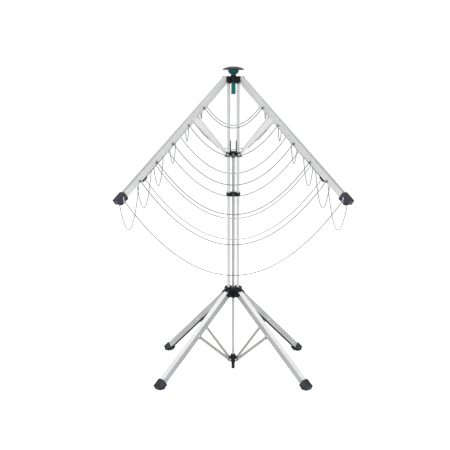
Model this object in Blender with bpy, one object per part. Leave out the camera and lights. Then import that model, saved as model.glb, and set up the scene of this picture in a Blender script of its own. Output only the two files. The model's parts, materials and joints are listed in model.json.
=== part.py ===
"""Rotary clothesline: a free-standing airer whose four line arms and four legs open from a sliding mast.

Front is -Y and up is +Z. The mast stands on the origin, and every moving piece has its origin on its joint.
"""

import math

import bmesh
import bpy
from mathutils import Matrix, Vector

# ---------------------------------------------------------------- corners, one arm and one leg at each
CORNERS = {"front_left": 225.0, "front_right": 315.0, "back_right": 45.0, "back_left": 135.0}
LINE_CORNER = "front_left"  # the cord changes level inside this arm

# ---------------------------------------------------------------- clearances, metres
FIT_GAP = 0.0003  # between pieces that seat on or in each other
SLIDE_GAP = 0.0005  # round a piece that slides
WALL_GAP = 0.0008  # beside a piece that swings
PIN_GAP = 0.0003  # round a pin
KEY_GAP = 0.0012  # each side of a brace inside its arm's channel

# ---------------------------------------------------------------- pivots: height, then distance out
ARM_PIVOT_Z = 1.1200
SLIDER_PIVOT_Z = 0.8395
GUIDE_Z = 0.6878
LEG_PIVOT_Z = 0.3013
LOWER_PIVOT_Z = 0.0401
POST_CIRCLE = 0.0253
POST_RADIUS = 0.0055
ARM_PIVOT_R = POST_CIRCLE + 0.0162
LEG_PIVOT_R = POST_CIRCLE + 0.0087
SLIDER_PIVOT_R = POST_CIRCLE + POST_RADIUS + 0.0057
LOWER_PIVOT_R = 0.0215

# ---------------------------------------------------------------- posts and rod
POST_WALL = 0.001
ROD_RADIUS = 0.0055
ROD_WALL = 0.0012
ROUND = 20  # facets round a turned piece
TUBE_ROUND = 16
HOLE_ROUND = 12

# ---------------------------------------------------------------- hubs on the mast
HUB_BOTTOM = ARM_PIVOT_Z - 0.0109
HUB_TOP = ARM_PIVOT_Z + 0.0125
HUB_RADIUS = POST_CIRCLE + 0.0017
HUB_SKIRT = POST_CIRCLE - 0.0033
NECK_RADIUS = 0.010
NECK_TOP = HUB_TOP + 0.0063
POST_TOP = ARM_PIVOT_Z - 0.004
SLIDER_BOTTOM = SLIDER_PIVOT_Z - 0.0091
SLIDER_TOP = SLIDER_PIVOT_Z + 0.0087
SLIDER_RADIUS = POST_CIRCLE - 0.0053
SLIDER_ROOF = 0.0035  # over the top end of the rod
NUB_RADIUS = 0.0080
NUB_HEIGHT = 0.0042
FORK_TOP = SLIDER_TOP + 0.0436
FORK_FINGER = 0.0045
FORK_WIDTH = 0.008
GUIDE_HEIGHT = 0.0146
GUIDE_RADIUS = POST_CIRCLE - 0.0041
BOSS_WALL = 0.0032  # round each post, in the slider and the guide
CROWN_BOTTOM = LEG_PIVOT_Z - 0.0116
CROWN_PLATE_BOTTOM = LEG_PIVOT_Z + 0.0152
CROWN_TOP = CROWN_PLATE_BOTTOM + 0.0080
CROWN_RADIUS = POST_CIRCLE + 0.0007
CROWN_LOBE = 0.0128
CROWN_NOSE = 0.0063
POST_SEAT = 0.002  # how deep a post stands in the crown's plate
SPIKE_TOP = LOWER_PIVOT_Z - 0.0091
LOWER_HUB_TOP = LOWER_PIVOT_Z + 0.0182
SPIKE_RADIUS = 0.0064
SPIGOT_RADIUS = 0.0040
SPIGOT_HEIGHT = 0.006

# ---------------------------------------------------------------- arms
ARM_DROP = math.radians(38.9)  # below level
ARM_WIDTH = 0.018
ARM_DEPTH = 0.022
ARM_WALL = 0.0015
ARM_HEAD = 0.010  # how far the arm reaches inwards past its pivot
ARM_END = 0.628
CAP_END = ARM_END + 0.044
CAP_WIDTH = ARM_WIDTH + 0.007
CAP_DEPTH = ARM_DEPTH + 0.006
CAP_PLUG = 0.024
CAP_ROUND = 0.014

# ---------------------------------------------------------------- legs
LEG_DROP = math.radians(39.8)
LEG_WIDTH = 0.022
LEG_DEPTH = 0.022
LEG_WALL = 0.0015
LEG_HEAD = 0.008
FOOT_END = LEG_PIVOT_Z / math.sin(LEG_DROP) - 0.0057
LEG_END = FOOT_END - 0.037
FOOT_WIDTH = LEG_WIDTH + 0.005
FOOT_DEPTH = LEG_DEPTH + 0.005
FOOT_PLUG = 0.022
HEAD_ROUND = 0.0075  # at the inner ends of arms and legs

# ---------------------------------------------------------------- braces
BRACE_ON_ARM = 0.2206
BRACE_DEEP = -0.004  # below the arm's middle line
BRACE_WIDE = (ARM_WIDTH - 2 * ARM_WALL - 2 * KEY_GAP, 0.014)  # across and deep, at the arm
BRACE_NARROW = (0.0044, 0.009)  # at the slider
BRACE_WALL = 0.0014
BRACE_TONGUE = 0.016
BRACE_ON_LEG = 0.206
LEG_BRACE_DEEP = -0.003
LEG_BRACE_THICK = 0.0044
LEG_BRACE_DEPTH = 0.010

# ---------------------------------------------------------------- ears and pins
EAR_HALF = 0.0085  # half height of the ears that the arms and legs turn on
EAR_ROOT = 0.010  # where an ear starts, inside its hub
CHEEK = 0.002  # plates of the hub and crown, beside the inner ends of arms and legs
CHEEK_ROOT = 0.008  # where it starts, inside its hub
CLEVIS_SLOT = LEG_BRACE_THICK + 2 * FIT_GAP
CLEVIS_WIDTH = CLEVIS_SLOT + 0.006
SLIDER_EAR_END = SLIDER_PIVOT_R + 0.0050
LOWER_EAR_END = LOWER_PIVOT_R + 0.0047
BIG_PIN = 0.0025
SMALL_PIN = 0.0018
BEYOND = 0.01  # how far a cutter reaches past what it cuts

# ---------------------------------------------------------------- push knob and release
COLLAR_BOTTOM = NECK_TOP + 0.0011
COLLAR_TOP = COLLAR_BOTTOM + 0.0146
COLLAR_CEILING = COLLAR_BOTTOM + 0.0105
KNOB_TOP = COLLAR_TOP + 0.0140
KNOB_RADIUS = 0.0405
STEM_RADIUS = 0.005
STEM_IN_KNOB = 0.0055
SLEEVE_RADIUS = 0.0081
SLEEVE_BORE = 0.0062
SLEEVE_BOTTOM = HUB_BOTTOM - 0.0436
SPRING_RADIUS = 0.0078
SPRING_WIRE = 0.0006
SPRING_TURNS = 3.5
SPRING_STEPS = 8  # points in each turn

# ---------------------------------------------------------------- clothesline
LINE_RADIUS = 0.0015
LINE_LEVELS = 6
LINE_FIRST = 0.157
LINE_PITCH = (ARM_END + 0.022 - LINE_FIRST) / (LINE_LEVELS - 1)  # the last notch is in the end cap
LINE_DEEP = -0.0075
LINE_SLOT = 0.005
LINE_SLOT_TOP = -0.0045
LINE_STRAIGHT = 0.003  # beside an arm, before the cord bends down
TRANSIT_DEEP = 0.0066
TRANSIT_SIDE = 0.0037
TRANSIT_RAMP = 0.014
SAG_FRONT = 0.346  # share of the span, front and back
SAG_SIDE = 0.205  # share of the span, left and right
SPAN_STEPS = 8


def clear_scene():
    for obj in list(bpy.data.objects):
        bpy.data.objects.remove(obj)


def finish(name, color, roughness, metallic):
    """A plain Principled material."""
    made = bpy.data.materials.new(name)
    made.use_nodes = True
    shader = made.node_tree.nodes["Principled BSDF"]
    shader.inputs["Base Color"].default_value = (*color, 1.0)
    shader.inputs["Roughness"].default_value = roughness
    shader.inputs["Metallic"].default_value = metallic
    return made


# ---------------------------------------------------------------- plain solids, as meshes
def mesh_from(name, points, faces):
    mesh = bpy.data.meshes.new(name)
    mesh.from_pydata([tuple(p) for p in points], [], faces)
    model = bmesh.new()
    model.from_mesh(mesh)
    loose = [v for v in model.verts if not v.link_faces]
    bmesh.ops.delete(model, geom=loose, context="VERTS")
    bmesh.ops.recalc_face_normals(model, faces=model.faces)
    model.to_mesh(mesh)
    model.free()
    return mesh


def block(low, high):
    (x0, y0, z0), (x1, y1, z1) = low, high
    points = [(x, y, z) for z in (z0, z1) for y in (y0, y1) for x in (x0, x1)]
    faces = [(0, 2, 3, 1), (4, 5, 7, 6), (0, 1, 5, 4), (2, 6, 7, 3), (0, 4, 6, 2), (1, 3, 7, 5)]
    return mesh_from("block", points, faces)


def turned(profile, count=ROUND):
    """A solid turned about Z from (radius, height) points, top to bottom. One that starts on the axis
    ends on it, with flat ends as one face each, and one that doesn't is a ring that closes on itself."""
    solid = profile[0][0] < 1e-9
    points, rings = [], []
    for radius, height in profile:
        if radius < 1e-9:
            rings.append([len(points)] * count)
            points.append((0.0, 0.0, height))
            continue
        rings.append([len(points) + i for i in range(count)])
        for i in range(count):
            turn = math.tau * i / count
            points.append((radius * math.cos(turn), radius * math.sin(turn), height))
    faces = []
    last = len(profile) - 1
    for step in range(last if solid else last + 1):
        a, b = step, (step + 1) % len(profile)
        on_axis = min(profile[a][0], profile[b][0]) < 1e-9
        if on_axis and abs(profile[a][1] - profile[b][1]) < 1e-9:
            faces.append(rings[a] if profile[b][0] < 1e-9 else rings[b])
            continue
        for i in range(count):
            j = (i + 1) % count
            corners = list(dict.fromkeys((rings[a][i], rings[b][i], rings[b][j], rings[a][j])))
            faces.append(corners)
    return mesh_from("turned", points, faces)


def cylinder(radius, bottom, top, count=ROUND):
    return turned([(0, top), (radius, top), (radius, bottom), (0, bottom)], count)


def moved(mesh, matrix):
    mesh.transform(matrix)
    return mesh


def cross_cylinder(radius, x, z, half, count=HOLE_ROUND):
    """A cylinder along Y through (x, z)."""
    there = Matrix.Translation((x, 0, z)) @ Matrix.Rotation(math.pi / 2, 4, "X")
    return moved(cylinder(radius, -half, half, count), there)


def slab(outline, low, high):
    """An outline of (x, z) points, extruded along Y from low to high."""
    count = len(outline)
    points = [(x, y, z) for y in (low, high) for x, z in outline]
    faces = [list(range(count)), list(range(2 * count - 1, count - 1, -1))]
    for i in range(count):
        j = (i + 1) % count
        faces.append((i, j, count + j, count + i))
    return mesh_from("slab", points, faces)


def arc(center, radius, start, end, steps=8):
    """Points on an arc, in degrees."""
    found = []
    for i in range(steps + 1):
        turn = math.radians(start + (end - start) * i / steps)
        found.append((center[0] + radius * math.cos(turn), center[1] + radius * math.sin(turn)))
    return found


def carved(mesh, add=(), cut=()):
    """The mesh with the solids in add joined on, then those in cut taken away."""
    base = bpy.data.objects.new("carving", mesh)
    bpy.context.scene.collection.objects.link(base)
    tools = []
    for operation, solids in (("UNION", add), ("DIFFERENCE", cut)):
        for solid in solids:
            tool = bpy.data.objects.new("tool", solid)
            bpy.context.scene.collection.objects.link(tool)
            tool.hide_render = True
            tool.display_type = "WIRE"
            tools.append(tool)
            step = base.modifiers.new(operation.lower(), "BOOLEAN")
            step.operation = operation
            step.object = tool
    graph = bpy.context.evaluated_depsgraph_get()
    made = bpy.data.meshes.new_from_object(base.evaluated_get(graph), depsgraph=graph)
    for obj in [base, *tools]:
        bpy.data.objects.remove(obj)
    model = bmesh.new()
    model.from_mesh(made)
    bmesh.ops.remove_doubles(model, verts=model.verts, dist=2e-6)
    model.to_mesh(made)
    model.free()
    return made


def place(name, mesh, material, matrix=Matrix.Identity(4), smooth=True):
    """One named piece, its origin and turn given by matrix."""
    mesh = mesh.copy()
    mesh.materials.clear()
    mesh.materials.append(material)
    if smooth:
        mesh.shade_smooth()
        mesh.set_sharp_from_angle(angle=math.radians(35))
    obj = bpy.data.objects.new(name, mesh)
    obj.matrix_world = matrix
    bpy.context.scene.collection.objects.link(obj)
    return obj


def corner_turn(azimuth):
    return Matrix.Rotation(math.radians(azimuth), 4, "Z")


def swung(azimuth, radius, height, drop):
    """The place of a piece that turns at a corner: X runs out and drops by that angle, Y is the axis."""
    out = Matrix.Translation((radius, 0, height)) @ Matrix.Rotation(drop, 4, "Y")
    return corner_turn(azimuth) @ out


def at_corners(make):
    """Copies of a solid that stands on the +X side, one turned to each corner."""
    return [moved(make(), corner_turn(azimuth)) for azimuth in CORNERS.values()]


def channel(start, end, width, depth, wall):
    """A U channel along X, open below."""
    half, rise = width / 2, depth / 2
    outline = [(-half, -rise), (-half, rise), (half, rise), (half, -rise)]
    outline += [(half - wall, -rise), (half - wall, rise - wall)]
    outline += [(wall - half, rise - wall), (wall - half, -rise)]
    count = len(outline)
    points = [(x, y, z) for x in (start, end) for y, z in outline]
    faces = [list(range(count)), list(range(2 * count - 1, count - 1, -1))]
    for i in range(count):
        j = (i + 1) % count
        faces.append((i, j, count + j, count + i))
    return mesh_from("channel", points, faces)


def round_head(start, rise):
    """Cutters that round both corners of a channel's inner end."""
    cutters = []
    for up in (1, -1):
        middle = (start + HEAD_ROUND, up * (rise - HEAD_ROUND))
        outline = [(start - BEYOND, up * (rise + BEYOND)), (start + HEAD_ROUND, up * (rise + BEYOND))]
        outline += arc(middle, HEAD_ROUND, up * 90, up * 90 + up * 90, 6)
        outline += [(start - BEYOND, middle[1])]
        cutters.append(slab(outline, -2 * BEYOND, 2 * BEYOND))
    return cutters


def headed_pin(radius, half, head, thick):
    """A pin along Y with a flat head on each end, half its grip each way."""
    grip = half + FIT_GAP
    outer = grip + thick
    profile = [(0, outer), (head * 0.8, outer), (head, grip), (radius, grip)]
    profile += [(r, -z) for r, z in reversed(profile)]
    return moved(turned(profile, 10), Matrix.Rotation(math.pi / 2, 4, "X"))


# ---------------------------------------------------------------- mast pieces
def tube(radius, wall, bottom, top):
    inner = radius - wall
    return turned([(radius, top), (radius, bottom), (inner, bottom), (inner, top)], TUBE_ROUND)


def post_holes(bottom, top, gap):
    def one():
        hole = cylinder(POST_RADIUS + gap, bottom, top, TUBE_ROUND)
        return moved(hole, Matrix.Translation((POST_CIRCLE, 0, 0)))

    return at_corners(one)


def round_ear(tip, height, width):
    """An ear with a round end, whose round is centred that far out and at that height."""
    outline = [(EAR_ROOT, height - EAR_HALF)]
    outline += arc((tip, height), EAR_HALF, -90, 90)
    outline += [(EAR_ROOT, height + EAR_HALF)]
    return slab(outline, -width / 2, width / 2)


def cheeks(side_outline, half):
    """The two plates beside an arm or leg of that half width."""
    inner, outer = half + WALL_GAP, half + WALL_GAP + CHEEK
    return [slab(side_outline, inner, outer), slab(side_outline, -outer, -inner)]


def build_posts(metal):
    mesh = tube(POST_RADIUS, POST_WALL, CROWN_PLATE_BOTTOM + POST_SEAT, POST_TOP)
    for corner, azimuth in CORNERS.items():
        stand = corner_turn(azimuth) @ Matrix.Translation((POST_CIRCLE, 0, 0))
        place("post_" + corner, mesh, metal, stand)


def build_top_hub(plastic):
    ear_width = ARM_WIDTH - 2 * ARM_WALL - 2 * WALL_GAP
    core = turned(
        [
            (0, NECK_TOP),
            (NECK_RADIUS, NECK_TOP),
            (NECK_RADIUS, HUB_TOP),
            (HUB_RADIUS - 0.0005, HUB_TOP),
            (HUB_RADIUS, HUB_TOP - 0.0010),
            (HUB_RADIUS, HUB_TOP - 0.0035),
            (HUB_RADIUS - 0.0035, HUB_TOP - 0.0050),
            (HUB_SKIRT, HUB_BOTTOM),
            (0, HUB_BOTTOM),
        ]
    )

    def ear():
        return round_ear(ARM_PIVOT_R - 0.003, ARM_PIVOT_Z, ear_width)

    outline = [(CHEEK_ROOT, HUB_BOTTOM), (ARM_PIVOT_R + 0.0045, HUB_BOTTOM)]
    outline += [(ARM_PIVOT_R + 0.006, HUB_BOTTOM + 0.0015), (ARM_PIVOT_R + 0.0046, HUB_BOTTOM + 0.005)]
    outline += [(ARM_PIVOT_R + 0.0046, HUB_TOP - 0.005), (ARM_PIVOT_R + 0.006, HUB_TOP - 0.002)]
    outline += [(ARM_PIVOT_R + 0.0045, HUB_TOP - 0.0005), (CHEEK_ROOT, HUB_TOP - 0.0005)]
    pair = cheeks(outline, ARM_WIDTH / 2)
    plates = [moved(plate.copy(), corner_turn(a)) for a in CORNERS.values() for plate in pair]

    def pin_hole():
        return cross_cylinder(BIG_PIN + PIN_GAP, ARM_PIVOT_R, ARM_PIVOT_Z, 0.02)

    sockets = post_holes(HUB_BOTTOM - BEYOND, POST_TOP + FIT_GAP, FIT_GAP)
    bore = cylinder(STEM_RADIUS + SLIDE_GAP, HUB_BOTTOM - BEYOND, NECK_TOP + BEYOND)
    mesh = carved(core, [*at_corners(ear), *plates], [bore, *sockets, *at_corners(pin_hole)])
    place("top_hub", mesh, plastic)


def build_crown(plastic):
    ear_width = LEG_WIDTH - 2 * LEG_WALL - 2 * WALL_GAP
    core = turned(
        [
            (0, CROWN_TOP),
            (CROWN_RADIUS, CROWN_TOP),
            (CROWN_RADIUS, CROWN_PLATE_BOTTOM),
            (CROWN_RADIUS - 0.0062, CROWN_PLATE_BOTTOM - 0.001),
            (CROWN_RADIUS - 0.0087, CROWN_BOTTOM),
            (ROD_RADIUS + 0.003, CROWN_BOTTOM),
            (ROD_RADIUS + 0.003, CROWN_BOTTOM - CROWN_NOSE),
            (0, CROWN_BOTTOM - CROWN_NOSE),
        ]
    )

    def lobe():
        round_lobe = cylinder(CROWN_LOBE, CROWN_PLATE_BOTTOM, CROWN_TOP)
        return moved(round_lobe, Matrix.Translation((POST_CIRCLE + 0.0032, 0, 0)))

    def ear():
        return round_ear(LEG_PIVOT_R, LEG_PIVOT_Z, ear_width)

    # the cheeks' upper edge drops with the legs' closed tops
    outline = [(CHEEK_ROOT, CROWN_BOTTOM + 0.0005), (LEG_PIVOT_R + 0.0025, CROWN_BOTTOM + 0.0005)]
    outline += [(LEG_PIVOT_R + 0.006, CROWN_BOTTOM + 0.0028), (LEG_PIVOT_R + 0.0165, LEG_PIVOT_Z - 0.0008)]
    outline += [(LEG_PIVOT_R + 0.0120, LEG_PIVOT_Z + 0.0042), (LEG_PIVOT_R + 0.0020, LEG_PIVOT_Z + 0.0125)]
    outline += [(LEG_PIVOT_R + 0.0008, CROWN_PLATE_BOTTOM), (LEG_PIVOT_R + 0.0005, CROWN_TOP - 0.0005)]
    outline += [(CHEEK_ROOT, CROWN_TOP - 0.0005)]
    pair = cheeks(outline, LEG_WIDTH / 2)
    plates = [moved(plate.copy(), corner_turn(a)) for a in CORNERS.values() for plate in pair]

    def pin_hole():
        return cross_cylinder(BIG_PIN + PIN_GAP, LEG_PIVOT_R, LEG_PIVOT_Z, 0.02)

    sockets = post_holes(CROWN_PLATE_BOTTOM + POST_SEAT - FIT_GAP, CROWN_TOP + BEYOND, FIT_GAP)
    bore = cylinder(ROD_RADIUS + SLIDE_GAP, CROWN_BOTTOM - 2 * BEYOND, CROWN_TOP + BEYOND)
    joined = [*at_corners(lobe), *at_corners(ear), *plates]
    mesh = carved(core, joined, [bore, *sockets, *at_corners(pin_hole)])
    place("crown", mesh, plastic)


def build_rod(metal):
    place("rod", tube(ROD_RADIUS, ROD_WALL, LOWER_PIVOT_Z, SLIDER_TOP - SLIDER_ROOF), metal)


def build_slider(plastic):
    core = cylinder(SLIDER_RADIUS, SLIDER_BOTTOM, SLIDER_TOP)
    boss_radius = POST_RADIUS + BOSS_WALL

    def boss():
        round_boss = cylinder(boss_radius, SLIDER_BOTTOM, SLIDER_TOP - 0.0006)
        return moved(round_boss, Matrix.Translation((POST_CIRCLE, 0, 0)))

    def ear():
        outline = [(POST_CIRCLE, SLIDER_BOTTOM + 0.0004), (SLIDER_EAR_END - 0.001, SLIDER_BOTTOM + 0.0004)]
        outline += [(SLIDER_EAR_END, SLIDER_BOTTOM + 0.0015), (SLIDER_EAR_END, SLIDER_PIVOT_Z + 0.002)]
        outline += [(SLIDER_EAR_END - 0.004, SLIDER_TOP - 0.0012), (POST_CIRCLE, SLIDER_TOP - 0.0012)]
        return slab(outline, -CLEVIS_WIDTH / 2, CLEVIS_WIDTH / 2)

    def slot():
        inner = POST_CIRCLE + POST_RADIUS + SLIDE_GAP + 0.0007
        half = CLEVIS_SLOT / 2
        high = (SLIDER_EAR_END + BEYOND, half, SLIDER_TOP + BEYOND)
        return block((inner, -half, SLIDER_BOTTOM - BEYOND), high)

    def pin_hole():
        return cross_cylinder(SMALL_PIN + PIN_GAP, SLIDER_PIVOT_R, SLIDER_PIVOT_Z, 0.02)

    nub = cylinder(NUB_RADIUS, SLIDER_BOTTOM - NUB_HEIGHT, SLIDER_BOTTOM + 0.001)
    socket = cylinder(ROD_RADIUS + FIT_GAP, SLIDER_BOTTOM - 2 * BEYOND, SLIDER_TOP - SLIDER_ROOF + FIT_GAP)
    holes = post_holes(SLIDER_BOTTOM - BEYOND, SLIDER_TOP + BEYOND, SLIDE_GAP)
    cuts = [socket, *holes, *at_corners(slot), *at_corners(pin_hole)]
    mesh = carved(core, [nub, *at_corners(boss), *at_corners(ear)], cuts)
    place("upper_slider", mesh, plastic)


def build_fork(plastic):
    """The latch: a foot plate on the slider with two fingers that close on the release sleeve."""
    inner = SLEEVE_RADIUS + 0.0007
    outer = inner + FORK_FINGER
    foot = SLIDER_TOP + FIT_GAP
    outline = [(-outer, foot), (outer, foot), (outer, FORK_TOP - 0.002), (outer - 0.0015, FORK_TOP)]
    outline += [(inner + 0.0012, FORK_TOP), (inner, FORK_TOP - 0.004), (inner, foot + 0.003)]
    outline += [(-inner, foot + 0.003), (-inner, FORK_TOP - 0.004), (-inner - 0.0012, FORK_TOP)]
    outline += [(0.0015 - outer, FORK_TOP), (-outer, FORK_TOP - 0.002)]
    place("latch_fork", slab(outline, -FORK_WIDTH / 2, FORK_WIDTH / 2), plastic)


def build_guide(plastic):
    low, high = GUIDE_Z - GUIDE_HEIGHT / 2, GUIDE_Z + GUIDE_HEIGHT / 2
    core = cylinder(GUIDE_RADIUS, low, high)

    def boss():
        round_boss = cylinder(POST_RADIUS + BOSS_WALL, low + 0.0006, high - 0.0006)
        return moved(round_boss, Matrix.Translation((POST_CIRCLE, 0, 0)))

    bore = cylinder(ROD_RADIUS + FIT_GAP, low - BEYOND, high + BEYOND)
    holes = post_holes(low - BEYOND, high + BEYOND, SLIDE_GAP)
    place("mid_guide", carved(core, at_corners(boss), [bore, *holes]), plastic)


def build_lower_hub(plastic):
    floor = SPIKE_TOP + FIT_GAP
    core = turned(
        [
            (0, LOWER_HUB_TOP),
            (ROD_RADIUS + 0.0035, LOWER_HUB_TOP),
            (ROD_RADIUS + 0.0060, LOWER_HUB_TOP - 0.006),
            (0.0135, floor + 0.004),
            (0.0125, floor),
            (0, floor),
        ]
    )

    def ear():
        outline = [(0.008, floor + 0.0004), (LOWER_EAR_END - 0.0055, floor + 0.0004)]
        outline += arc((LOWER_EAR_END - 0.0055, LOWER_PIVOT_Z), 0.0055, -60, 90, 6)
        outline += [(0.008, LOWER_PIVOT_Z + 0.0085)]
        return slab(outline, -CLEVIS_WIDTH / 2, CLEVIS_WIDTH / 2)

    def slot():
        half = CLEVIS_SLOT / 2
        high = (LOWER_EAR_END + BEYOND, half, LOWER_HUB_TOP + BEYOND)
        inner = LOWER_PIVOT_R - LEG_BRACE_DEPTH / 2 - 0.0015
        return block((inner, -half, floor - BEYOND), high)

    def pin_hole():
        return cross_cylinder(SMALL_PIN + PIN_GAP, LOWER_PIVOT_R, LOWER_PIVOT_Z, 0.02)

    socket = cylinder(ROD_RADIUS + FIT_GAP, LOWER_PIVOT_Z - FIT_GAP, LOWER_HUB_TOP + BEYOND)
    spigot = cylinder(SPIGOT_RADIUS + FIT_GAP, floor - BEYOND, SPIKE_TOP + SPIGOT_HEIGHT + FIT_GAP)
    cuts = [socket, spigot, *at_corners(slot), *at_corners(pin_hole)]
    place("lower_hub", carved(core, at_corners(ear), cuts), plastic)


def build_spike(plastic):
    profile = [(0, SPIKE_TOP + SPIGOT_HEIGHT), (SPIGOT_RADIUS, SPIKE_TOP + SPIGOT_HEIGHT)]
    profile += [(SPIGOT_RADIUS, SPIKE_TOP), (SPIKE_RADIUS, SPIKE_TOP)]
    profile += arc((SPIKE_RADIUS - 0.004, 0.004), 0.004, 0, -90, 6)
    profile += [(0, 0)]
    place("spike_tip", turned(profile), plastic)


def build_pins(metal):
    big_arm = headed_pin(BIG_PIN, ARM_WIDTH / 2 + WALL_GAP + CHEEK, 0.0038, 0.0012)
    big_leg = headed_pin(BIG_PIN, LEG_WIDTH / 2 + WALL_GAP + CHEEK, 0.0038, 0.0012)
    small = headed_pin(SMALL_PIN, CLEVIS_WIDTH / 2, 0.0038, 0.0010)
    for corner, azimuth in CORNERS.items():
        place("arm_pin_" + corner, big_arm, metal, swung(azimuth, ARM_PIVOT_R, ARM_PIVOT_Z, 0))
        place("leg_pin_" + corner, big_leg, metal, swung(azimuth, LEG_PIVOT_R, LEG_PIVOT_Z, 0))
        place("slider_pin_" + corner, small, metal, swung(azimuth, SLIDER_PIVOT_R, SLIDER_PIVOT_Z, 0))
        place("lower_pin_" + corner, small, metal, swung(azimuth, LOWER_PIVOT_R, LOWER_PIVOT_Z, 0))


# ---------------------------------------------------------------- knob, collar, sleeve and spring
def build_release(dark, teal, deep_teal, steel):
    under = COLLAR_TOP + FIT_GAP
    stem_top = under + STEM_IN_KNOB
    knob = [(0, KNOB_TOP)]
    knob += [(KNOB_RADIUS * 0.30, KNOB_TOP - 0.0007), (KNOB_RADIUS * 0.58, KNOB_TOP - 0.0026)]
    knob += [(KNOB_RADIUS * 0.82, KNOB_TOP - 0.0056), (KNOB_RADIUS * 0.96, KNOB_TOP - 0.0083)]
    knob += [(KNOB_RADIUS, KNOB_TOP - 0.0106), (KNOB_RADIUS * 0.985, KNOB_TOP - 0.0124)]
    knob += [(KNOB_RADIUS * 0.93, KNOB_TOP - 0.0128), (KNOB_RADIUS * 0.86, KNOB_TOP - 0.0116)]
    knob += [(0.022, under + 0.0012), (0.0195, under), (STEM_RADIUS + FIT_GAP, under)]
    knob += [(STEM_RADIUS + FIT_GAP, stem_top + FIT_GAP), (0, stem_top + FIT_GAP)]
    place("push_knob", turned(knob, 28), dark)

    collar = [(0.0195, COLLAR_TOP), (0.0195, COLLAR_TOP - 0.0028), (0.0210, COLLAR_TOP - 0.0036)]
    collar += [(0.0210, COLLAR_TOP - 0.0062), (0.0180, COLLAR_TOP - 0.0080)]
    collar += [(0.0150, COLLAR_BOTTOM + 0.0030), (0.0130, COLLAR_BOTTOM)]
    collar += [(NECK_RADIUS + 0.0006, COLLAR_BOTTOM), (NECK_RADIUS + 0.0006, COLLAR_CEILING)]
    collar += [(STEM_RADIUS + FIT_GAP, COLLAR_CEILING), (STEM_RADIUS + FIT_GAP, COLLAR_TOP)]
    place("release_collar", turned(collar, 24), deep_teal)

    shoulder = HUB_BOTTOM - FIT_GAP
    sleeve = [(0, stem_top), (STEM_RADIUS, stem_top), (STEM_RADIUS, shoulder), (SLEEVE_RADIUS, shoulder)]
    sleeve += [(SLEEVE_RADIUS, SLEEVE_BOTTOM), (SLEEVE_BORE, SLEEVE_BOTTOM)]
    sleeve += [(SLEEVE_BORE, shoulder - 0.006)]
    sleeve += [(0, shoulder - 0.006)]
    place("release_sleeve", turned(sleeve), teal)

    low = NECK_TOP + SPRING_WIRE + FIT_GAP
    high = COLLAR_CEILING - SPRING_WIRE - FIT_GAP
    coil = []
    steps = int(SPRING_TURNS * SPRING_STEPS)
    for i in range(steps + 1):
        turn = math.tau * SPRING_TURNS * i / steps
        rise = low + (high - low) * i / steps
        coil.append((SPRING_RADIUS * math.cos(turn), SPRING_RADIUS * math.sin(turn), rise))
    place_cord("return_spring", coil, SPRING_WIRE, steel)


# ---------------------------------------------------------------- arms
def notch_places():
    return [LINE_FIRST + LINE_PITCH * level for level in range(LINE_LEVELS)]


def build_arms(metal, plastic):
    cuts = [cross_cylinder(BIG_PIN + PIN_GAP, 0, 0, 0.02)]
    for along in notch_places()[:-1]:
        half = LINE_SLOT / 2
        cuts.append(block((along - half, -0.02, -ARM_DEPTH), (along + half, 0.02, LINE_SLOT_TOP)))
    cuts += round_head(-ARM_HEAD, ARM_DEPTH / 2)
    arm = carved(channel(-ARM_HEAD, ARM_END, ARM_WIDTH, ARM_DEPTH, ARM_WALL), (), cuts)

    face = ARM_END + FIT_GAP
    rise = CAP_DEPTH / 2
    outline = [(face, -rise + 0.002), (face, rise), (CAP_END - 0.002, rise), (CAP_END, rise - 0.002)]
    outline += arc((CAP_END - CAP_ROUND, CAP_ROUND - rise), CAP_ROUND, 0, -90, 5)
    outline += [(face + 0.002, -rise)]
    cap = slab(outline, -CAP_WIDTH / 2, CAP_WIDTH / 2)
    inner_half = ARM_WIDTH / 2 - ARM_WALL - FIT_GAP
    inner_top = ARM_DEPTH / 2 - ARM_WALL - FIT_GAP
    plug_low = (ARM_END - CAP_PLUG, -inner_half, -ARM_DEPTH / 2 + 0.001)
    plug = block(plug_low, (face + 0.004, 0.0005, inner_top))
    last = notch_places()[-1]
    half = LINE_SLOT / 2
    slot = block((last - half, -0.02, -0.03), (last + half, 0.02, LINE_SLOT_TOP))
    duct = block((face - 0.01, 0.001, -0.03), (last + half, 0.0065, TRANSIT_DEEP + 0.0022))
    cap = carved(cap, [plug], [slot, duct])
    for corner, azimuth in CORNERS.items():
        stand = swung(azimuth, ARM_PIVOT_R, ARM_PIVOT_Z, ARM_DROP)
        place("arm_" + corner, arm, metal, stand)
        place("arm_cap_" + corner, cap, plastic, stand)


def brace_span(pivot_r, pivot_z, drop, along, deep, foot_r, foot_z):
    """(length, angle above level) of a brace from its foot pivot to a point along an arm or leg, at a
    depth off its middle line."""
    out = pivot_r + along * math.cos(drop) + deep * math.sin(drop) - foot_r
    rise = pivot_z - along * math.sin(drop) + deep * math.cos(drop) - foot_z
    return math.hypot(out, rise), math.atan2(rise, out)


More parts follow.
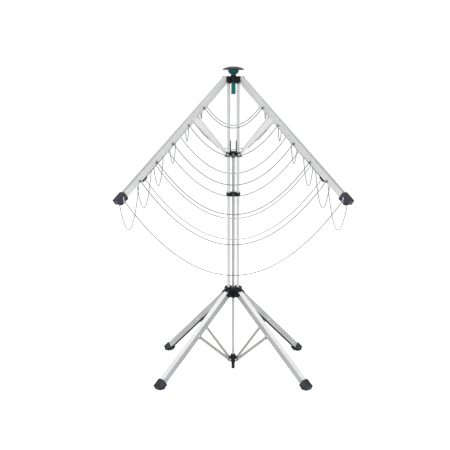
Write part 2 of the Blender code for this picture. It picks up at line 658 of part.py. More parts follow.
def build_arm_braces(metal):
    length, lift = brace_span(
        ARM_PIVOT_R, ARM_PIVOT_Z, ARM_DROP, BRACE_ON_ARM, BRACE_DEEP, SLIDER_PIVOT_R, SLIDER_PIVOT_Z
    )
    wide, narrow = BRACE_WIDE, BRACE_NARROW
    # sections along the brace: place, width across, depth
    sections = [(0.012, *narrow), (0.020, narrow[0], narrow[1] + 0.0004), (0.045, wide[0] - 0.0031, 0.0105)]
    sections += [(length * 0.55, wide[0] - 0.0011, 0.0125), (length, *wide)]
    points, faces = [], []
    for along, across, deep in sections:
        half, rise = across / 2, deep / 2
        points += [(along, -half, -rise), (along, -half, rise), (along, half, rise), (along, half, -rise)]
    for i in range(len(sections) - 1):
        for j in range(4):
            k = (j + 1) % 4
            faces.append((4 * i + j, 4 * i + k, 4 * i + 4 + k, 4 * i + 4 + j))
    faces += [(0, 3, 2, 1), tuple(range(4 * len(sections) - 4, 4 * len(sections)))]
    body = mesh_from("brace", points, faces)
    inset = 0.0001  # keeps the joined solids' side faces apart
    tongue_half = narrow[0] / 2 - inset
    rise = narrow[1] / 2 - inset
    outline = arc((0, 0), 0.004, 270, 90, 8)
    outline += [(0.004, rise), (BRACE_TONGUE, rise), (BRACE_TONGUE, -rise), (0.004, -rise)]
    tongue = slab(outline, -tongue_half, tongue_half)
    end = cross_cylinder(wide[1] / 2 - inset, length, 0, wide[0] / 2 - inset)
    # the hollow that makes it a channel, open below
    inner = (wide[0] - 0.0031) / 2 - BRACE_WALL
    hollow = block((0.050, -inner, -0.02), (length - 0.010, inner, 0.0032))
    hole = cross_cylinder(SMALL_PIN + PIN_GAP, 0, 0, 0.02)
    mesh = carved(body, [tongue, end], [hole, hollow])
    for corner, azimuth in CORNERS.items():
        place("arm_brace_" + corner, mesh, metal, swung(azimuth, SLIDER_PIVOT_R, SLIDER_PIVOT_Z, -lift))


# ---------------------------------------------------------------- legs
def build_legs(metal, rubber):
    hole = cross_cylinder(BIG_PIN + PIN_GAP, 0, 0, 0.02)
    cuts = [hole, *round_head(-LEG_HEAD, LEG_DEPTH / 2)]
    leg = carved(channel(-LEG_HEAD, LEG_END, LEG_WIDTH, LEG_DEPTH, LEG_WALL), (), cuts)

    face = LEG_END + FIT_GAP
    rise = FOOT_DEPTH / 2
    low = LEG_PIVOT_Z - rise * math.cos(LEG_DROP)
    heel = low / math.sin(LEG_DROP)  # where the foot's lower face meets the floor
    toe = -(LEG_PIVOT_Z - FOOT_END * math.sin(LEG_DROP)) / math.cos(LEG_DROP)  # where its end face does
    outline = [(face, -rise), (face, rise), (FOOT_END - 0.002, rise), (FOOT_END, rise - 0.002)]
    outline += [(FOOT_END, toe), (heel, -rise)]
    foot = slab(outline, -FOOT_WIDTH / 2, FOOT_WIDTH / 2)
    inner_half = LEG_WIDTH / 2 - LEG_WALL - FIT_GAP
    inner_top = LEG_DEPTH / 2 - LEG_WALL - FIT_GAP
    plug_low = (LEG_END - FOOT_PLUG, -inner_half, -LEG_DEPTH / 2 + 0.001)
    plug = block(plug_low, (face + 0.004, inner_half, inner_top))
    foot = carved(foot, [plug])
    for corner, azimuth in CORNERS.items():
        stand = swung(azimuth, LEG_PIVOT_R, LEG_PIVOT_Z, LEG_DROP)
        place("leg_" + corner, leg, metal, stand)
        place("foot_" + corner, foot, rubber, stand)


def build_leg_braces(metal):
    length, lift = brace_span(
        LEG_PIVOT_R, LEG_PIVOT_Z, LEG_DROP, BRACE_ON_LEG, LEG_BRACE_DEEP, LOWER_PIVOT_R, LOWER_PIVOT_Z
    )
    end = LEG_BRACE_DEPTH / 2 + 0.0005
    outline = arc((0, 0), end, 270, 90, 8) + arc((length, 0), end, 90, -90, 8)
    half = LEG_BRACE_THICK / 2
    hole = cross_cylinder(SMALL_PIN + PIN_GAP, 0, 0, 0.02)
    mesh = carved(slab(outline, -half, half), (), [hole])
    for corner, azimuth in CORNERS.items():
        place("leg_brace_" + corner, mesh, metal, swung(azimuth, LOWER_PIVOT_R, LOWER_PIVOT_Z, -lift))


# ---------------------------------------------------------------- clothesline
def place_cord(name, points, radius, material):
    curve = bpy.data.curves.new(name, "CURVE")
    curve.dimensions = "3D"
    curve.bevel_depth = radius
    curve.bevel_resolution = 2
    curve.use_fill_caps = True
    spline = curve.splines.new("POLY")
    spline.points.add(len(points) - 1)
    for knot, point in zip(spline.points, points):
        knot.co = (*point, 1.0)
    curve.materials.append(material)
    obj = bpy.data.objects.new(name, curve)
    bpy.context.scene.collection.objects.link(obj)
    return obj


def in_arm(corner, along, aside, deep):
    """A point given in an arm's own frame: along it, to its side and off its middle line."""
    return swung(CORNERS[corner], ARM_PIVOT_R, ARM_PIVOT_Z, ARM_DROP) @ Vector((along, aside, deep))


def exit_side(level):
    """How far to the arm's side the cord is straight, before it bends down."""
    width = CAP_WIDTH if level == LINE_LEVELS - 1 else ARM_WIDTH
    return width / 2 + LINE_STRAIGHT


def hanging(start, end, sag):
    """The points of a span between its two ends, hanging by sag times its length."""
    drop = sag * (end - start).length
    found = []
    for i in range(1, SPAN_STEPS):
        share = i / SPAN_STEPS
        point = start.lerp(end, share)
        point.z -= drop * 4 * share * (1 - share)
        found.append(point)
    return found


def line_route():
    """The whole cord, from its knot in the first arm's channel to its end in that arm's cap."""
    corners = list(CORNERS)
    places = notch_places()
    side, deep = TRANSIT_SIDE, LINE_DEEP
    route = [in_arm(LINE_CORNER, places[0] - 0.020, side, TRANSIT_DEEP)]
    for level, along in enumerate(places):
        out = exit_side(level)
        if level > 0:
            route.append(in_arm(LINE_CORNER, places[level - 1] + TRANSIT_RAMP, -side, TRANSIT_DEEP))
            route.append(in_arm(LINE_CORNER, places[level - 1] + TRANSIT_RAMP * 1.6, side, TRANSIT_DEEP))
        route.append(in_arm(LINE_CORNER, along - TRANSIT_RAMP * 0.85, side, TRANSIT_DEEP))
        route.append(in_arm(LINE_CORNER, along, side + 0.0008, deep))
        for i in range(len(corners)):
            here, there = corners[i], corners[(i + 1) % len(corners)]
            start, end = in_arm(here, along, out, deep), in_arm(there, along, -out, deep)
            route.append(start)
            route += hanging(start, end, SAG_FRONT if i % 2 == 0 else SAG_SIDE)
            route.append(end)
            if i < len(corners) - 1:
                route.append(in_arm(there, along, 0, deep))
        route.append(in_arm(LINE_CORNER, along, -side - 0.0008, deep))
    return route


def build_line(cord):
    place_cord("clothesline", line_route(), LINE_RADIUS, cord)


def main():
    clear_scene()
    aluminium = finish("aluminium", (0.72, 0.73, 0.74), 0.32, 0.9)
    brace_metal = finish("pressed_sheet", (0.66, 0.67, 0.68), 0.38, 0.9)
    plastic = finish("dark_plastic", (0.045, 0.050, 0.060), 0.45, 0.0)
    rubber = finish("foot_plastic", (0.040, 0.043, 0.050), 0.60, 0.0)
    teal = finish("teal_plastic", (0.005, 0.200, 0.170), 0.40, 0.0)
    deep_teal = finish("deep_teal_plastic", (0.004, 0.095, 0.095), 0.40, 0.0)
    steel = finish("steel", (0.62, 0.62, 0.63), 0.28, 1.0)
    cord = finish("line_sheath", (0.60, 0.61, 0.63), 0.55, 0.0)
    build_posts(aluminium)
    build_top_hub(plastic)
    build_crown(plastic)
    build_rod(aluminium)
    build_slider(plastic)
    build_fork(plastic)
    build_guide(plastic)
    build_lower_hub(plastic)
    build_spike(rubber)
    build_pins(steel)
    build_release(plastic, teal, deep_teal, steel)
    build_arms(aluminium, plastic)
    build_arm_braces(brace_metal)
    build_legs(aluminium, rubber)
    build_leg_braces(brace_metal)
    build_line(cord)


main()
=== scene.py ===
# %% [markdown]
# # A rotary clothesline
#
# A mast of four thin posts carries four line arms at the top and four legs near the bottom. A rod inside
# the posts carries two hinged collars, and a brace from each collar holds every arm and leg. Push the frame
# down over the rod and the whole thing opens. One long cord is laced through all four arms at six levels.
#
# The solid model gives every hard part its true size and place. This lesson adds what the eye needs: the
# cord as it really hangs, rounded edges, rivets, seams and soles, and a finish for each material.

# %% The frame and the tools
import json
import math

import bmesh
import bpy
from mathutils import Matrix, Vector

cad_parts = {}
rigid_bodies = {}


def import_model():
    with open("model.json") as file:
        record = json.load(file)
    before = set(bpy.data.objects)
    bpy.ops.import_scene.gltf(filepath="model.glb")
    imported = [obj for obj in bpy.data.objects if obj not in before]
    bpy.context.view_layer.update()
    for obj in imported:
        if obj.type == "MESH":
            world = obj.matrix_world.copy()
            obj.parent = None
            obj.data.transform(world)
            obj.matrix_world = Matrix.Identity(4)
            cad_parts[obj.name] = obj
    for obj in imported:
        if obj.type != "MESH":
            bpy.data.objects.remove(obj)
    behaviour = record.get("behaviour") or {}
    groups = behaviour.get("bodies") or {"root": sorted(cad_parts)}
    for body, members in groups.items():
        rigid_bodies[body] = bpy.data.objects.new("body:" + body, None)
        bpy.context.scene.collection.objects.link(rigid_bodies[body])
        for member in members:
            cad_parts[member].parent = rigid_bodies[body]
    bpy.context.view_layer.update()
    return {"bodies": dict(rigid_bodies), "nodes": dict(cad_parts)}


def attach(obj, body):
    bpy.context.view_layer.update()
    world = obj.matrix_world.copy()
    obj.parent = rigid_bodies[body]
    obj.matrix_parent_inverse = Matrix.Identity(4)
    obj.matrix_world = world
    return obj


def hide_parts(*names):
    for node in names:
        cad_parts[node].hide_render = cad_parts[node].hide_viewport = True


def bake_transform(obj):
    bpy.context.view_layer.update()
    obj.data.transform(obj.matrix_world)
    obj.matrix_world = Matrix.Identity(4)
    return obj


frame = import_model()

# %% [markdown]
# ## The camera
#
# The clothesline is seen from the front, from just below the height of its knob and a few paces away, with
# a long lens that keeps its tall shape straight. A camera could be aimed with a constraint, but three plain
# angles are easier to read: the tip forward, no roll, and a small turn that leaves the mast slightly right
# of centre.

# %% The camera
EYE = (0.0, -3.7086, 1.1025)
TIP_DOWN = math.radians(8.21)
TURN_LEFT = math.radians(0.49)

camera = bpy.data.objects.new("camera", bpy.data.cameras.new("camera"))
camera.data.lens = 78.07
camera.data.sensor_width = 36.0
camera.location = EYE
camera.rotation_euler = (math.pi / 2 - TIP_DOWN, 0.0, TURN_LEFT)
bpy.context.scene.collection.objects.link(camera)
bpy.context.scene.camera = camera
print("camera:", camera.data.lens, "mm lens,", round((Vector(EYE) - Vector((0, 0, 0.6))).length, 2), "m away")

# %% [markdown]
# ## Places on the arms and legs
#
# Arms and legs stand on the diagonals and slope down from their pivots. Every place on one is easiest to
# give in its own frame: how far along it, how far to its side, and how far off its middle line. A matrix
# per arm turns such a place into world coordinates. Its X axis runs out along the arm, its Y axis is the
# hinge's axis, and its Z axis points out of the arm's closed top.

# %% Frames of the arms and legs
CORNERS = {"front_left": 225.0, "front_right": 315.0, "back_right": 45.0, "back_left": 135.0}
ORDER = list(CORNERS)

# each pivot is (out from the mast's axis, above the floor)
ARM_PIVOT = (0.0415, 1.1200)
ARM_DROP = math.radians(38.9)
ARM_END = 0.672
LEG_PIVOT = (0.034, 0.3013)
LEG_DROP = math.radians(39.8)
SLIDER_PIVOT = (0.0365, 0.8395)
ARM_BRACE_DROP = -0.6731
LOWER_PIVOT = (0.0215, 0.0401)
LEG_BRACE_DROP = -0.6450


def swung(corner, pivot, drop):
    """The frame of a piece that slopes down from a pivot at one corner."""
    turn = Matrix.Rotation(math.radians(CORNERS[corner]), 4, "Z")
    return turn @ Matrix.Translation((pivot[0], 0, pivot[1])) @ Matrix.Rotation(drop, 4, "Y")


arm_frame = {corner: swung(corner, ARM_PIVOT, ARM_DROP) for corner in CORNERS}
leg_frame = {corner: swung(corner, LEG_PIVOT, LEG_DROP) for corner in CORNERS}
tip = arm_frame["front_left"] @ Vector((ARM_END, 0, 0))
print("arm tip at the front left:", [round(x, 3) for x in tip])

# %% [markdown]
# ## Where the cord runs
#
# The cord is one piece, nearly fifteen metres long. It is knotted inside the front left arm, goes once
# round all four arms at each level, and drops to the next level inside that same arm. At every arm it lies
# in a notch in the side walls. The numbers below are the ones the solid model uses.

# %% Notches and levels
LEVELS = 6
FIRST_NOTCH = 0.157
NOTCH_PITCH = 0.0986
CORD_RADIUS = 0.0015
IN_NOTCH = -0.0075  # off the arm's middle line
IN_CHANNEL = 0.0066
CHANNEL_SIDE = 0.0037
RAMP = 0.014
ARM_WIDTH = 0.018
ARM_DEPTH = 0.022
LEG_WIDTH = 0.022
LEG_DEPTH = 0.022
CAP_WIDTH = 0.025
SAG_FRONT = 0.346  # share of the span
SAG_SIDE = 0.205
HALF_STEPS = 16

notches = [FIRST_NOTCH + NOTCH_PITCH * level for level in range(LEVELS)]
print("notches along the arm:", [round(x, 3) for x in notches])


def exit_side(level):
    """How far to the arm's side the cord is still straight."""
    width = CAP_WIDTH if level == LEVELS - 1 else ARM_WIDTH
    return width / 2 + 0.003


def on_arm(corner, along, aside, deep):
    return arm_frame[corner] @ Vector((along, aside, deep))


# %% [markdown]
# ## How a span hangs
#
# A cord held at its ends hangs in a curve that is close to a parabola. Its length is fixed, so when the
# arms fold and the ends come together the loop gets deeper. A short formula gives the sag from the length
# and the distance: for a tight cord it is 0.433 times the root of (length squared - distance squared), and
# for a very slack one half of it. The same formula is used for the resting shape and, later, in the
# modifier that moves the cord.

# %% The hanging formula
TIGHT = 0.433
SLACK_GAIN = 0.067
SLACK_POWER = 1.2
MIN_SPARE = 1.002


def sag_of(length, distance):
    length = max(length, MIN_SPARE * distance)
    slackness = 1 - (distance / length) ** SLACK_POWER
    return (TIGHT + SLACK_GAIN * slackness) * math.sqrt(length**2 - distance**2)


def length_for(sag, distance):
    """The length that hangs by that sag, found by halving the interval."""
    low, high = distance, distance + 3 * sag
    for _ in range(60):
        middle = (low + high) / 2
        if sag_of(middle, distance) < sag:
            low = middle
        else:
            high = middle
    return high


print("a 0.77 m span that sags by a third of it is", round(length_for(0.77 / 3, 0.77), 3), "m of cord")


# %% [markdown]
# ## One stretch of cord at a time
#
# The cord could be one long tube, but its spans join arms that turn separately. So it is made in stretches,
# each from the middle of one span, through one arm, to the middle of the next. Every point of a stretch
# knows how it moves: it is either held by the arm, or it is a share of the way along a hanging span.

# %% Points of a stretch
def held(corner, along, aside, deep):
    """A point that the arm carries."""
    return {"at": on_arm(corner, along, aside, deep), "side": 0}


def span_points(corner, other, level, side):
    """Half a span, from this arm's exit (share 0) to the middle (0.5). side is 1 towards the next arm."""
    out = exit_side(level) * side
    near = on_arm(corner, notches[level], out, IN_NOTCH)
    far = on_arm(other, notches[level], -out, IN_NOTCH)
    pair = {corner, other}
    front_or_back = pair == {"front_left", "front_right"} or pair == {"back_left", "back_right"}
    distance = (far - near).length
    length = length_for((SAG_FRONT if front_or_back else SAG_SIDE) * distance, distance)
    sag = sag_of(length, distance)
    found = []
    for i in range(HALF_STEPS + 1):
        share = 0.5 * i / HALF_STEPS
        at = near.lerp(far, share)
        at.z -= 4 * sag * share * (1 - share)
        slope = (far - near) - Vector((0, 0, 4 * sag * (1 - 2 * share)))
        found.append({"at": at, "side": side, "share": share, "near": near, "far": far, "length": length,
                      "slope": slope * side})
    return found


sample = span_points("front_left", "front_right", 5, 1)
print("lowest front span hangs", round(sample[0]["at"].z - sample[-1]["at"].z, 3), "m below its notch")


# %% [markdown]
# Three arms only let the cord through. The front left arm also carries it down to the next level, so its
# stretches have a middle part that runs inside the channel.

# %% The twenty-five stretches
def through(corner, level):
    """Across an arm, from one side's exit to the other's."""
    return [held(corner, notches[level], 0, IN_NOTCH)]


def down_the_channel(level):
    """Inside the front left arm, from this level's notch to the next one's."""
    corner = "front_left"
    start, end = notches[level], notches[level + 1]
    side = CHANNEL_SIDE
    return [
        held(corner, start, -side - 0.0008, IN_NOTCH),
        held(corner, start + RAMP, -side, IN_CHANNEL),
        held(corner, start + RAMP * 1.6, side, IN_CHANNEL),
        held(corner, end - RAMP * 0.85, side, IN_CHANNEL),
        held(corner, end, side + 0.0008, IN_NOTCH),
    ]


def stretches():
    """(name, corner, level, points) of each stretch of the cord."""
    made = []
    for level in range(LEVELS):
        for i, corner in enumerate(ORDER):
            before, after = ORDER[i - 1], ORDER[(i + 1) % 4]
            arriving = list(reversed(span_points(corner, before, level, -1)))
            leaving = span_points(corner, after, level, 1)
            if corner != "front_left":
                passing = arriving + through(corner, level) + leaving
                made.append((f"line_{level + 1}_{corner}", corner, level, passing))
                continue
            if level == 0:
                first = [held(corner, notches[0] - 0.020, CHANNEL_SIDE, IN_CHANNEL)]
                first.append(held(corner, notches[0] - RAMP * 0.85, CHANNEL_SIDE, IN_CHANNEL))
                first.append(held(corner, notches[0], CHANNEL_SIDE + 0.0008, IN_NOTCH))
                made.append(("line_1_start", corner, 0, first + leaving))
            if level < LEVELS - 1:
                onward = span_points(corner, after, level + 1, 1)
                passing = arriving + down_the_channel(level) + onward
                made.append((f"line_{level + 1}_to_{level + 2}", corner, level, passing))
            else:
                last = [held(corner, notches[level], -CHANNEL_SIDE - 0.0008, IN_NOTCH)]
                made.append(("line_6_end", corner, level, arriving + last))
    return made


cord_stretches = stretches()
print(len(cord_stretches), "stretches of cord")


# %% [markdown]
# ## Sweeping a tube along the points
#
# A curve with a bevel would give a tube in one step, but each ring has to remember how it hangs, so the
# tube is a mesh of rings. A ring stands square to the cord: one of its directions is level, and the other
# completes it. The facts that move a point are stored on its ring's vertices as attributes.

# %% A tube of rings
RING = 8


def level_side(slope):
    """The level direction square to a slope."""
    return slope.cross(Vector((0, 0, 1))).normalized()


def ring_at(at, slope, radius):
    across = level_side(slope)
    up = across.cross(slope).normalized()
    found = []
    for i in range(RING):
        turn = math.tau * i / RING
        found.append(at + radius * (math.cos(turn) * across + math.sin(turn) * up))
    return found


def tube_mesh(name, centres, slopes, radius):
    """A closed tube through the centres."""
    points, faces = [], []
    for at, slope in zip(centres, slopes):
        points += ring_at(at, slope, radius)
    for i in range(len(centres) - 1):
        for j in range(RING):
            k = (j + 1) % RING
            a, b = i * RING, (i + 1) * RING
            faces.append((a + j, a + k, b + k, b + j))
    last = (len(centres) - 1) * RING
    faces.append(tuple(reversed(range(RING))))
    faces.append(tuple(range(last, last + RING)))
    mesh = bpy.data.meshes.new(name)
    mesh.from_pydata(points, [], faces)
    mesh.shade_smooth()
    return mesh


def store(mesh, name, kind, values):
    """One value for each ring, written to all of its vertices."""
    is_vector = kind == "FLOAT_VECTOR"
    flat = []
    for value in values:
        flat += (list(value) if is_vector else [value]) * RING
    attribute = mesh.attributes.new(name, kind, "POINT")
    attribute.data.foreach_set("vector" if is_vector else "value", flat)


def slopes_of(points):
    """The cord's direction at each point."""
    found = []
    for i, point in enumerate(points):
        before = points[max(i - 1, 0)]["at"]
        after = points[min(i + 1, len(points) - 1)]["at"]
        found.append(point.get("slope") or (after - before))
    return found


print("a ring has", RING, "vertices on a radius of", CORD_RADIUS, "m")

# %% [markdown]
# ## A modifier that lets the cord hang
#
# When the arms turn, each half span must be worked out again between its two new ends. Geometry Nodes can
# do it: the modifier reads where the arm and its two neighbours are now, carries the stored ends there, and
# works out the same parabola as above. At rest it changes nothing. The node tree is written with the same
# kind of small wrapper that the materials use, so that the maths reads as plain expressions.


# %% A wrapper for node maths
class Wire:
    """The value on an output socket. Sums and products of wires add their own Math nodes."""

    def __init__(self, board, socket):
        self.board = board
        self.socket = socket

    def _math(self, operation, *values):
        return self.board.node("ShaderNodeMath", {"operation": operation}, dict(enumerate(values)))

    def __add__(self, other):
        return self._math("ADD", self, other)

    def __radd__(self, other):
        return self._math("ADD", other, self)

    def __sub__(self, other):
        return self._math("SUBTRACT", self, other)

    def __rsub__(self, other):
        return self._math("SUBTRACT", other, self)

    def __mul__(self, other):
        return self._math("MULTIPLY", self, other)

    def __rmul__(self, other):
        return self._math("MULTIPLY", other, self)

    def __truediv__(self, other):
        return self._math("DIVIDE", self, other)

    def __rtruediv__(self, other):
        return self._math("DIVIDE", other, self)

    def __pow__(self, other):
        return self._math("POWER", self, other)

    def most(self, other):
        return self._math("MAXIMUM", self, other)


class Board:
    """A node tree that is filled by calls."""

    def __init__(self, tree):
        self.tree = tree

    def node(self, kind, settings=None, inputs=None, output=0):
        """Adds a node: its settings, then its sockets' values or links. Gives the wire of one output."""
        made = self.tree.nodes.new(kind)
        for name, value in (settings or {}).items():
            if name == "stops":
                self._stops(made.color_ramp, value)
            else:
                setattr(made, name, value)
        for key, value in (inputs or {}).items():
            socket = made.inputs[key]
            if isinstance(value, Wire):
                self.tree.links.new(value.socket, socket)
            else:
                socket.default_value = value
        return Wire(self, made.outputs[output])

    def _stops(self, ramp, stops):
        while len(ramp.elements) < len(stops):
            ramp.elements.new(0.5)
        for element, (place, color) in zip(ramp.elements, stops):
            element.position = place
            element.color = color

    def vector(self, operation, *values, output=0):
        return self.node("ShaderNodeVectorMath", {"operation": operation}, dict(enumerate(values)), output)

    def scaled(self, value, factor):
        return self.node("ShaderNodeVectorMath", {"operation": "SCALE"}, {0: value, "Scale": factor})


print("node maths ready")


# %% The hanging modifier
def hanging_tree():
    tree = bpy.data.node_groups.new("hang", "GeometryNodeTree")
    tree.interface.new_socket("Geometry", in_out="INPUT", socket_type="NodeSocketGeometry")
    for name in ("Arm", "Arm before", "Arm after"):
        tree.interface.new_socket(name, in_out="INPUT", socket_type="NodeSocketObject")
    tree.interface.new_socket("Geometry", in_out="OUTPUT", socket_type="NodeSocketGeometry")
    board = Board(tree)
    given = tree.nodes.new("NodeGroupInput")
    result = tree.nodes.new("NodeGroupOutput")

    def stored(name, kind):
        return board.node("GeometryNodeInputNamedAttribute", {"data_type": kind}, {"Name": name})

    def carried(point, who):
        """The point, moved as that arm has moved since rest."""
        place = board.node("GeometryNodeObjectInfo", {"transform_space": "ORIGINAL"},
                           {"Object": Wire(board, given.outputs[who])})
        return board.node("FunctionNodeTransformPoint", None, {"Vector": point, "Transform": place})

    side = stored("side", "FLOAT")
    share = stored("share", "FLOAT")
    cord = stored("cord_length", "FLOAT")
    ring_across = stored("ring_across", "FLOAT")
    ring_up = stored("ring_up", "FLOAT")
    far_rest = stored("far_end", "FLOAT_VECTOR")

    near = carried(stored("near_end", "FLOAT_VECTOR"), "Arm")
    greater = {"data_type": "FLOAT", "operation": "GREATER_THAN"}
    ahead = board.node("FunctionNodeCompare", greater, {0: side, 1: 0.0})
    ends = {"Switch": ahead, "False": carried(far_rest, "Arm before"), "True": carried(far_rest, "Arm after")}
    far = board.node("GeometryNodeSwitch", {"input_type": "VECTOR"}, ends)
    reach = board.vector("SUBTRACT", far, near)
    distance = board.vector("LENGTH", reach, output="Value")
    length = cord.most(MIN_SPARE * distance)
    slackness = 1 - (distance / length) ** SLACK_POWER
    sag = (TIGHT + SLACK_GAIN * slackness) * (length * length - distance * distance) ** 0.5

    fall = board.node("ShaderNodeCombineXYZ", None, {"Z": 4 * sag * share * (1 - share)})
    centre = board.vector("SUBTRACT", board.vector("ADD", near, board.scaled(reach, share)), fall)
    lean = board.node("ShaderNodeCombineXYZ", None, {"Z": 4 * sag * (1 - 2 * share)})
    slope = board.scaled(board.vector("SUBTRACT", reach, lean), side)
    across = board.vector("NORMALIZE", board.vector("CROSS_PRODUCT", slope, (0.0, 0.0, 1.0)))
    up = board.vector("NORMALIZE", board.vector("CROSS_PRODUCT", across, slope))
    ring = board.vector("ADD", board.scaled(across, ring_across), board.scaled(up, ring_up))
    hanging = board.vector("ADD", centre, ring)

    still = carried(stored("rest_place", "FLOAT_VECTOR"), "Arm")
    free = board.node("FunctionNodeCompare", greater, {0: side * side, 1: 0.5})
    choice = {"Switch": free, "False": still, "True": hanging}
    place = board.node("GeometryNodeSwitch", {"input_type": "VECTOR"}, choice)
    moved = board.node("GeometryNodeSetPosition", None,
                       {"Geometry": Wire(board, given.outputs["Geometry"]), "Position": place})
    tree.links.new(moved.socket, result.inputs["Geometry"])
    return tree


hang = hanging_tree()
print("hanging modifier:", len(hang.nodes), "nodes")


# %% [markdown]
# Now the stretches are built. Each one stores the length of cord in its spans, and gets the hanging
# modifier, which follows its arm and the two arms next to it.

# %% Building the cord
DRIFT_BACK = 0.076  # shares of the notch's distance from the arm's pivot
DRIFT_DOWN = 0.515


def drift(corner, level):
    """The way from the notch towards the middle of the hanging spans."""
    turn = arm_frame[corner].to_3x3()
    return turn @ Vector((-DRIFT_BACK * notches[level], 0, -DRIFT_DOWN * notches[level]))


def build_stretch(name, corner, level, points):
    slopes = slopes_of(points)
    centres = [p["at"] for p in points]
    mesh = tube_mesh(name, centres, slopes, CORD_RADIUS)
    zero = Vector((0, 0, 0))
    store(mesh, "side", "FLOAT", [float(p["side"]) for p in points])
    store(mesh, "share", "FLOAT", [p.get("share", 0.0) for p in points])
    store(mesh, "cord_length", "FLOAT", [p.get("length", 1.0) for p in points])
    store(mesh, "near_end", "FLOAT_VECTOR", [p.get("near", zero) for p in points])
    store(mesh, "far_end", "FLOAT_VECTOR", [p.get("far", zero) for p in points])
    for key, wave in (("ring_across", math.cos), ("ring_up", math.sin)):
        values = [CORD_RADIUS * wave(math.tau * i / RING) for i in range(RING)] * len(points)
        mesh.attributes.new(key, "FLOAT", "POINT").data.foreach_set("value", values)
    flat = [x for v in mesh.vertices for x in v.co]
    mesh.attributes.new("rest_place", "FLOAT_VECTOR", "POINT").data.foreach_set("vector", flat)
    piece = bpy.data.objects.new(name, mesh)
    bpy.context.scene.collection.objects.link(piece)

    notch = on_arm(corner, notches[level], 0, IN_NOTCH)
    notch + drift(corner, level)
    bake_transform(piece)
    modifier = piece.modifiers.new("hang", "NODES")
    modifier.node_group = hang
    i = ORDER.index(corner)
    for socket, who in (("Arm", corner), ("Arm before", ORDER[i - 1]), ("Arm after", ORDER[(i + 1) % 4])):
        key = hang.interface.items_tree[socket].identifier
        modifier[key] = frame["bodies"][f"{who}_arm"]
    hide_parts("clothesline")
    length = sum((b - a).length for a, b in zip(centres, centres[1:]))
    return piece, length


cords = []
total = 0.0
for name, corner, level, points in cord_stretches:
    piece, length = build_stretch(name, corner, level, points)
    cords.append(piece)
    total += length
print(len(cords), "pieces of cord,", round(total, 2), "m in all")

# %% [markdown]
# ## Finishes
#
# Each material is a small recipe: a colour that varies a little, a roughness, and a fine surface. A recipe
# needs to know which way the piece was drawn or moulded, so it starts from the piece's own frame: a Mapping
# node of the Texture kind undoes the piece's place and turn, and then X runs along an arm or leg and Z
# along a post. Image textures would need unwrapping, and noise in the piece's own metres doesn't.

# %% The finish recipe
UPRIGHT = Matrix.Identity(4)


class Finish(Board):
    """A material whose varying values are written as expressions, and whose constants are named sockets."""

    def __init__(self, name, place=UPRIGHT, **constants):
        self.material = bpy.data.materials.new(name)
        self.material.use_nodes = True
        super().__init__(self.material.node_tree)
        self.shader = self.tree.nodes["Principled BSDF"]
        for key, value in constants.items():
            self.shader.inputs[key.replace("_", " ").title().replace("Ior", "IOR")].default_value = value
        local = self.node("ShaderNodeTexCoord", output="Object")
        turn = place.to_euler()
        self.place = self.node("ShaderNodeMapping", {"vector_type": "TEXTURE"},
                               {"Vector": local, "Location": place.translation, "Rotation": turn})

    def axis(self, letter):
        """One of the place's three coordinates, in metres."""
        return self.node("ShaderNodeSeparateXYZ", None, {0: self.place}, output=letter)

    def noise(self, scale, stretch=(1, 1, 1), detail=3.0):
        """Noise from 0 to 1: scale is lumps per metre, and a small stretch makes long lumps on that axis."""
        spread = self.vector("MULTIPLY", self.place, stretch)
        return self.node("ShaderNodeTexNoise", None, {"Vector": spread, "Scale": scale, "Detail": detail})

    def step(self, value, low, high):
        """0 below low, 1 above high, and smooth between."""
        return self.node("ShaderNodeMapRange", {"interpolation_type": "SMOOTHSTEP"},
                         {"Value": value, "From Min": low, "From Max": high})

    def size_of(self, value):
        return self.node("ShaderNodeMath", {"operation": "ABSOLUTE"}, {0: value})

    def tinted(self, dark, light, mask):
        """A colour between two, by a mask."""
        return self.blended((*dark, 1.0), (*light, 1.0), mask)

    def blended(self, first, second, mask):
        return self.node("ShaderNodeMix", {"data_type": "RGBA"}, {"Factor": mask, "A": first, "B": second},
                         output="Result")

    def wear(self, color, light, mask):
        return self.blended(color, (*light, 1.0), mask)

    def surface(self, color=None, roughness=None, height=None, depth=0.0001, strength=0.4):
        """Links what varies: colour, roughness, and a bump of that height."""
        if color:
            self.tree.links.new(color.socket, self.shader.inputs["Base Color"])
        if roughness:
            self.tree.links.new(roughness.socket, self.shader.inputs["Roughness"])
        if height:
            relief = {"Height": height, "Strength": strength, "Distance": depth}
            bump = self.node("ShaderNodeBump", None, relief)
            self.tree.links.new(bump.socket, self.shader.inputs["Normal"])
        return self.material


print("finish recipe ready")

# %% [markdown]
# ## Drawn aluminium
#
# Arms and legs are aluminium channel, pushed through a die and then anodised. The die leaves faint lines
# along the whole length, and the finish is satin: neither a mirror nor paint. The lines are noise that is
# stretched a hundred times along X. The corners catch more wear, so they are a little lighter and smoother.
# The closed top gets a grey of its own as painted light: a painted highlight on the legs' tops, with their
# sides painted darker as shade, and painted shade on the arms' tops. The inside of the channel is painted
# dark grey as painted shade.

# %% Aluminium of the arms, legs and posts
# (dark, light) grey of the sides, then of the closed top. The two differ as painted light: a painted
# highlight on the legs' tops and painted shade on their sides, and painted shade on the arms' tops
ARM_TONES = ((0.47, 0.55), (0.40, 0.48))
LEG_TONES = ((0.30, 0.38), (0.80, 0.90))
POST_TONES = ((0.45, 0.53), (0.45, 0.53))
ROD_TONES = ((0.37, 0.44), (0.37, 0.44))
# dark grey painted on the inner faces of the channel: painted shade
PAINTED_SHADE_INSIDE = (0.12, 0.12, 0.125, 1.0)


